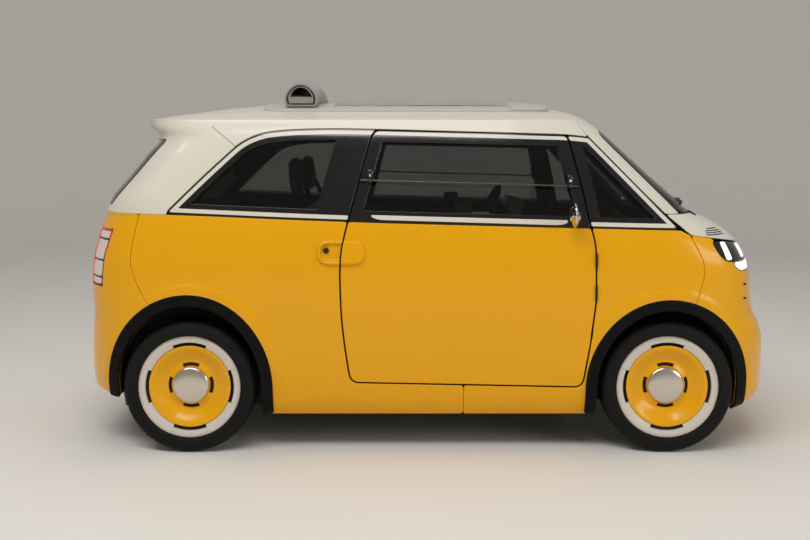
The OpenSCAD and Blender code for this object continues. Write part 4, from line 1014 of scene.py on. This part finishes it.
# Cabin: dashboard with the driver's display, latch boxes on the doors
FIRE_X, DASH_W, LID, DASH_LOW = 0.425 * HL, 0.775 * 2 * HW, 0.615 * BH, 0.435 * BH
DASH = softened([(FIRE_X, DASH_LOW), (FIRE_X, LID), (FIRE_X - 0.13, LID), (FIRE_X - 0.26, LID - 0.0867),
                 (FIRE_X - 0.26, LID - 0.13), (FIRE_X - 0.13, DASH_LOW)], 0.028)
DISPLAY_TURN, VENT_TURN, VENTS = 16, -34, (-0.44, -0.16, 0.1, 0.49)
ys, n, c = np.linspace(-DASH_W / 2, DASH_W / 2, 41), len(DASH), DASH.mean(0)
v = []
for y in ys:
    slim = 1 - 0.1 * max(0, abs(y) / (DASH_W / 2) - 0.9) / 0.1
    hollow = 0.018 * math.exp(-((y - 0.3) / 0.16) ** 2) + 0.01 * math.exp(-((y + 0.3) / 0.2) ** 2)
    for x, z in DASH:
        into = hollow * max(0, min(1, (FIRE_X - 0.1 - x) / 0.16))
        v.append((c[0] + (x - c[0]) * slim + into, y, c[1] + (z - c[1]) * slim))
ends = [list(range(n)), [(len(ys) - 1) * n + q for q in range(n)]]
b = Build().solid(v, grid_faces(len(ys), n) + ends)
b.solid(*block((0.075, 0.3, 0.125), 0.012, at_place(0.437, 0.3, LID + 0.058, DISPLAY_TURN)), 1)
b.solid(*block((0.01, 0.27, 0.098), 0.004, at_place(0.4005, 0.3, LID + 0.068, DISPLAY_TURN)), 2)
for y in VENTS:
    b.solid(*block((0.03, 0.1, 0.034), 0.009, at_place(FIRE_X - 0.225, y, LID - 0.072, VENT_TURN)), 2)
    for k in (-1, 0, 1):
        slat = at_place(FIRE_X - 0.2265 - 0.0055 * k, y, LID - 0.0705 + 0.008 * k, VENT_TURN)
        b.solid(*block((0.032, 0.092, 0.004), 0.0015, slat))
b.piece("dash_board", [DASH_GREY, PAD, SCREEN_BLACK], "dash_plastic", "dashboard")

y = on_side(0.15, 1.0)[1] + 0.064
PIN = [(0.0, 0.018), (0.0035, 0.0175), (0.0045, 0.016), (0.0045, 0.012)]
b = Build().solid(*block((0.075, 0.03, 0.085), 0.009, at_place(0.145, y, 0.992)))
b.solid(*block((0.092, 0.026, 0.06), 0.006, at_place(0.212, y + 0.004, 0.978)), 1)
b.solid(*turned(PIN, lambda u, v, h: (0.212 + u, y + h, 0.985 + v), 16))
b.solid(*block((0.12, 0.028, 0.02), 0.006, at_place(0.18, y - 0.014, 0.955)))
pair(b, "window_latch", [PLASTIC, PAD], "dash_plastic", body="door")


# Seats: each cushion is a box that swells under pressure, held to a set travel, then sewn in channels
VOXEL, PRESSURE, FRAMES = 0.017, 4.0, 20


def stuffed(size, bevel, travel):
    """Points and faces of a padded block about the origin."""
    obj = put_mesh("pad", *block(size, bevel, Matrix()))
    remesh = obj.modifiers.new("remesh", "REMESH")
    remesh.mode, remesh.voxel_size = "VOXEL", VOXEL
    graph = bpy.context.evaluated_depsgraph_get()
    obj.data = bpy.data.meshes.new_from_object(obj.evaluated_get(graph))
    obj.modifiers.clear()
    start = np.array([p.co for p in obj.data.vertices])
    cloth = obj.modifiers.new("cloth", "CLOTH")
    cloth.settings.use_pressure = True
    cloth.settings.uniform_pressure_force = PRESSURE
    cloth.settings.effector_weights.gravity = 0
    cloth.point_cache.frame_end = FRAMES
    for k in range(1, FRAMES + 1):
        bpy.context.scene.frame_set(k)
    graph = bpy.context.evaluated_depsgraph_get()
    swollen = np.array([p.co for p in obj.evaluated_get(graph).data.vertices])
    bpy.context.scene.frame_set(1)
    move = swollen - start
    far = np.linalg.norm(move, axis=1, keepdims=True)
    start = start + move * np.minimum(1, travel / np.maximum(far, 1e-9))
    faces = [list(p.vertices) for p in obj.data.polygons]
    bpy.data.objects.remove(obj)
    return start, faces


def sewn(size, bevel, travel, lines, depth, axis):
    """The padded block with channels at some widths, on the side that faces along an axis."""
    v, f = stuffed(size, bevel, travel)
    reach = v[:, axis].max()
    front = np.clip((v[:, axis] - 0.2 * reach) / (0.8 * reach), 0, 1)
    groove = sum(np.exp(-((v[:, 1] - c) / 0.011) ** 2) for c in lines)
    v[:, axis] -= depth * groove * front
    return v, f


def seat_piece(name, parts, node, sides=(-1, 1)):
    b = Build()
    for s in sides:
        for (v, f), place in parts:
            p = np.array([place @ Vector(q) for q in v])
            if s:
                p[:, 1] = s * (p[:, 1] + SEAT_Y)
            b.solid(p, f if s >= 0 else [q[::-1] for q in f])
    piece = b.piece(name, [FABRIC], "seat_fabric", node)
    soft = piece.modifiers.new("soft", "SUBSURF")
    soft.levels = soft.render_levels = 1
    return piece


SEAT_Y, SEAT_W, LEAN = 0.3, 0.42, -22
lean = at_place(-0.24, 0, 0.3003, LEAN)
lines = (-0.14, 0, 0.14)
cushion = sewn((0.43, SEAT_W, 0.115), 0.035, 0.022, lines, 0.011, 2)
back = sewn((0.07, SEAT_W, 0.7), 0.03, 0.022, lines, 0.011, 0)
head = sewn((0.048, 0.23, 0.17), 0.022, 0.012, (0,), 0.004, 0)
seats = seat_piece("front_seat_pads", [
    (cushion, at_place(0.005, 0, 0.478)), (back, lean @ Matrix.Translation((0.018, 0, 0.445))),
    (head, at_place(-0.582, 0, 1.146, -5))], "front_seats")
b = Build()
for s in (-1, 1):
    b.solid(*block((0.44, 0.4, 0.115), 0.02, at_place(0.0, s * SEAT_Y, 0.3595)))
    for k in (-1, 1):
        post = [lean @ Vector((0.018, k * 0.055, h)) for h in (0.76, 0.8, 0.86)]
        b.solid(*tube([(p.x, p.y + s * SEAT_Y, p.z) for p in post], 0.006, 12))
b.piece("front_seat_frames", [PLASTIC], "black_plastic")

BENCH_X, BENCH_Z, BENCH_W = -0.6 * HL - 0.19, 0.3753, 0.86
bench_lean = at_place(BENCH_X, 0, BENCH_Z, LEAN)
lines = (-0.22, 0, 0.22)
cushion = sewn((0.33, BENCH_W, 0.1), 0.03, 0.02, lines, 0.011, 2)
back = sewn((0.07, BENCH_W, 0.42), 0.03, 0.02, lines, 0.011, 0)
bench = seat_piece("rear_seat_pads", [
    (cushion, at_place(BENCH_X + 0.2, 0, BENCH_Z + 0.078)),
    (back, bench_lean @ Matrix.Translation((0.058, 0, 0.315)))], "rear_seat", (0,))

# Nodes that keep their own shape
# Door hinges and their pins are given black plastic as painted shade, so that they read as part of the dark
# door gap
KEPT = {FLOOR: ["floor_pan"], LINER: ["arch_liners"], CASE: ["battery_block", "motor_block"],
        STEEL: ["front_subframe", "rear_axle", "knuckle_right", "knuckle_left"],
        CREAM: ["tailgate_hinges"], LEATHER: ["steering_wheel"],
        PLASTIC: ["steering_column", "hinge_pins", "door_hinges_right", "door_hinges_left"]}
for look, names in KEPT.items():
    for n in names:
        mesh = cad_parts[n].data
        mesh.materials.clear()
        mesh.materials.append(look)
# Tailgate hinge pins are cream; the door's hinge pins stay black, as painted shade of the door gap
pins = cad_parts["hinge_pins"].data
pins.materials.append(CREAM)
for f in pins.polygons:
    f.material_index = 1 if f.center.x < 0 else 0


# Stage: a pale floor that curves up into a round wall
FLAT_R, CURVE_R, WALL_TOP = 9, 4, 9
scene = bpy.context.scene
curve = [(FLAT_R + CURVE_R * math.sin(a), CURVE_R - CURVE_R * math.cos(a))
         for a in math.pi / 32 * np.arange(1, 17)]
profile = [(0.0, 0), (3, 0), (FLAT_R, 0)] + curve + [(FLAT_R + CURVE_R, WALL_TOP)]
floor = put_mesh("floor", *turned(profile, lambda x, y, z: (x, y, z), 96)[:2])
floor.data.materials.append(material("floor_paper", (236, 232, 224), 0.9, 0.01, 2))

# Lamps: name, place, aim, size in metres and power in watts
for name, place, aim, size, power in (("key", (-2.0, -5.0, 6.8), (0, 0, 0.7), (7, 2), 320),
                                      ("fill", (6.5, -5.0, 2.6), (0.5, 0, 0.7), (4, 2), 110),
                                      ("top", (0, 0.8, 6.0), (0, 0, 0), (6, 4), 48)):
    light = bpy.data.lights.new(name, "AREA")
    light.shape, light.energy = "RECTANGLE", power
    light.size, light.size_y = size
    lamp = put(name, light)
    lamp.location = place
    lamp.rotation_euler = (Vector(aim) - Vector(place)).to_track_quat("-Z", "Y").to_euler()
scene.world = bpy.data.worlds.new("studio")
scene.world.use_nodes = True
settle(scene.world.node_tree.nodes["Background"], Color=(0.9, 0.92, 0.95, 1), Strength=0.35)

# Camera, fitted to points in the photo
EYE, PITCH_DOWN, LENS_MM, SENSOR_MM, SHIFT = (-0.098, -5.2, 1.31), 2.62, 48.6, 36.0, -0.0988
cam = bpy.data.cameras.new("camera")
cam.lens, cam.sensor_width, cam.shift_y = LENS_MM, SENSOR_MM, SHIFT
cam.clip_end = 100
scene.camera = put("camera", cam)
scene.camera.location = EYE
scene.camera.rotation_euler = (math.radians(90 - PITCH_DOWN), 0, 0)
scene.view_settings.view_transform = "Standard"
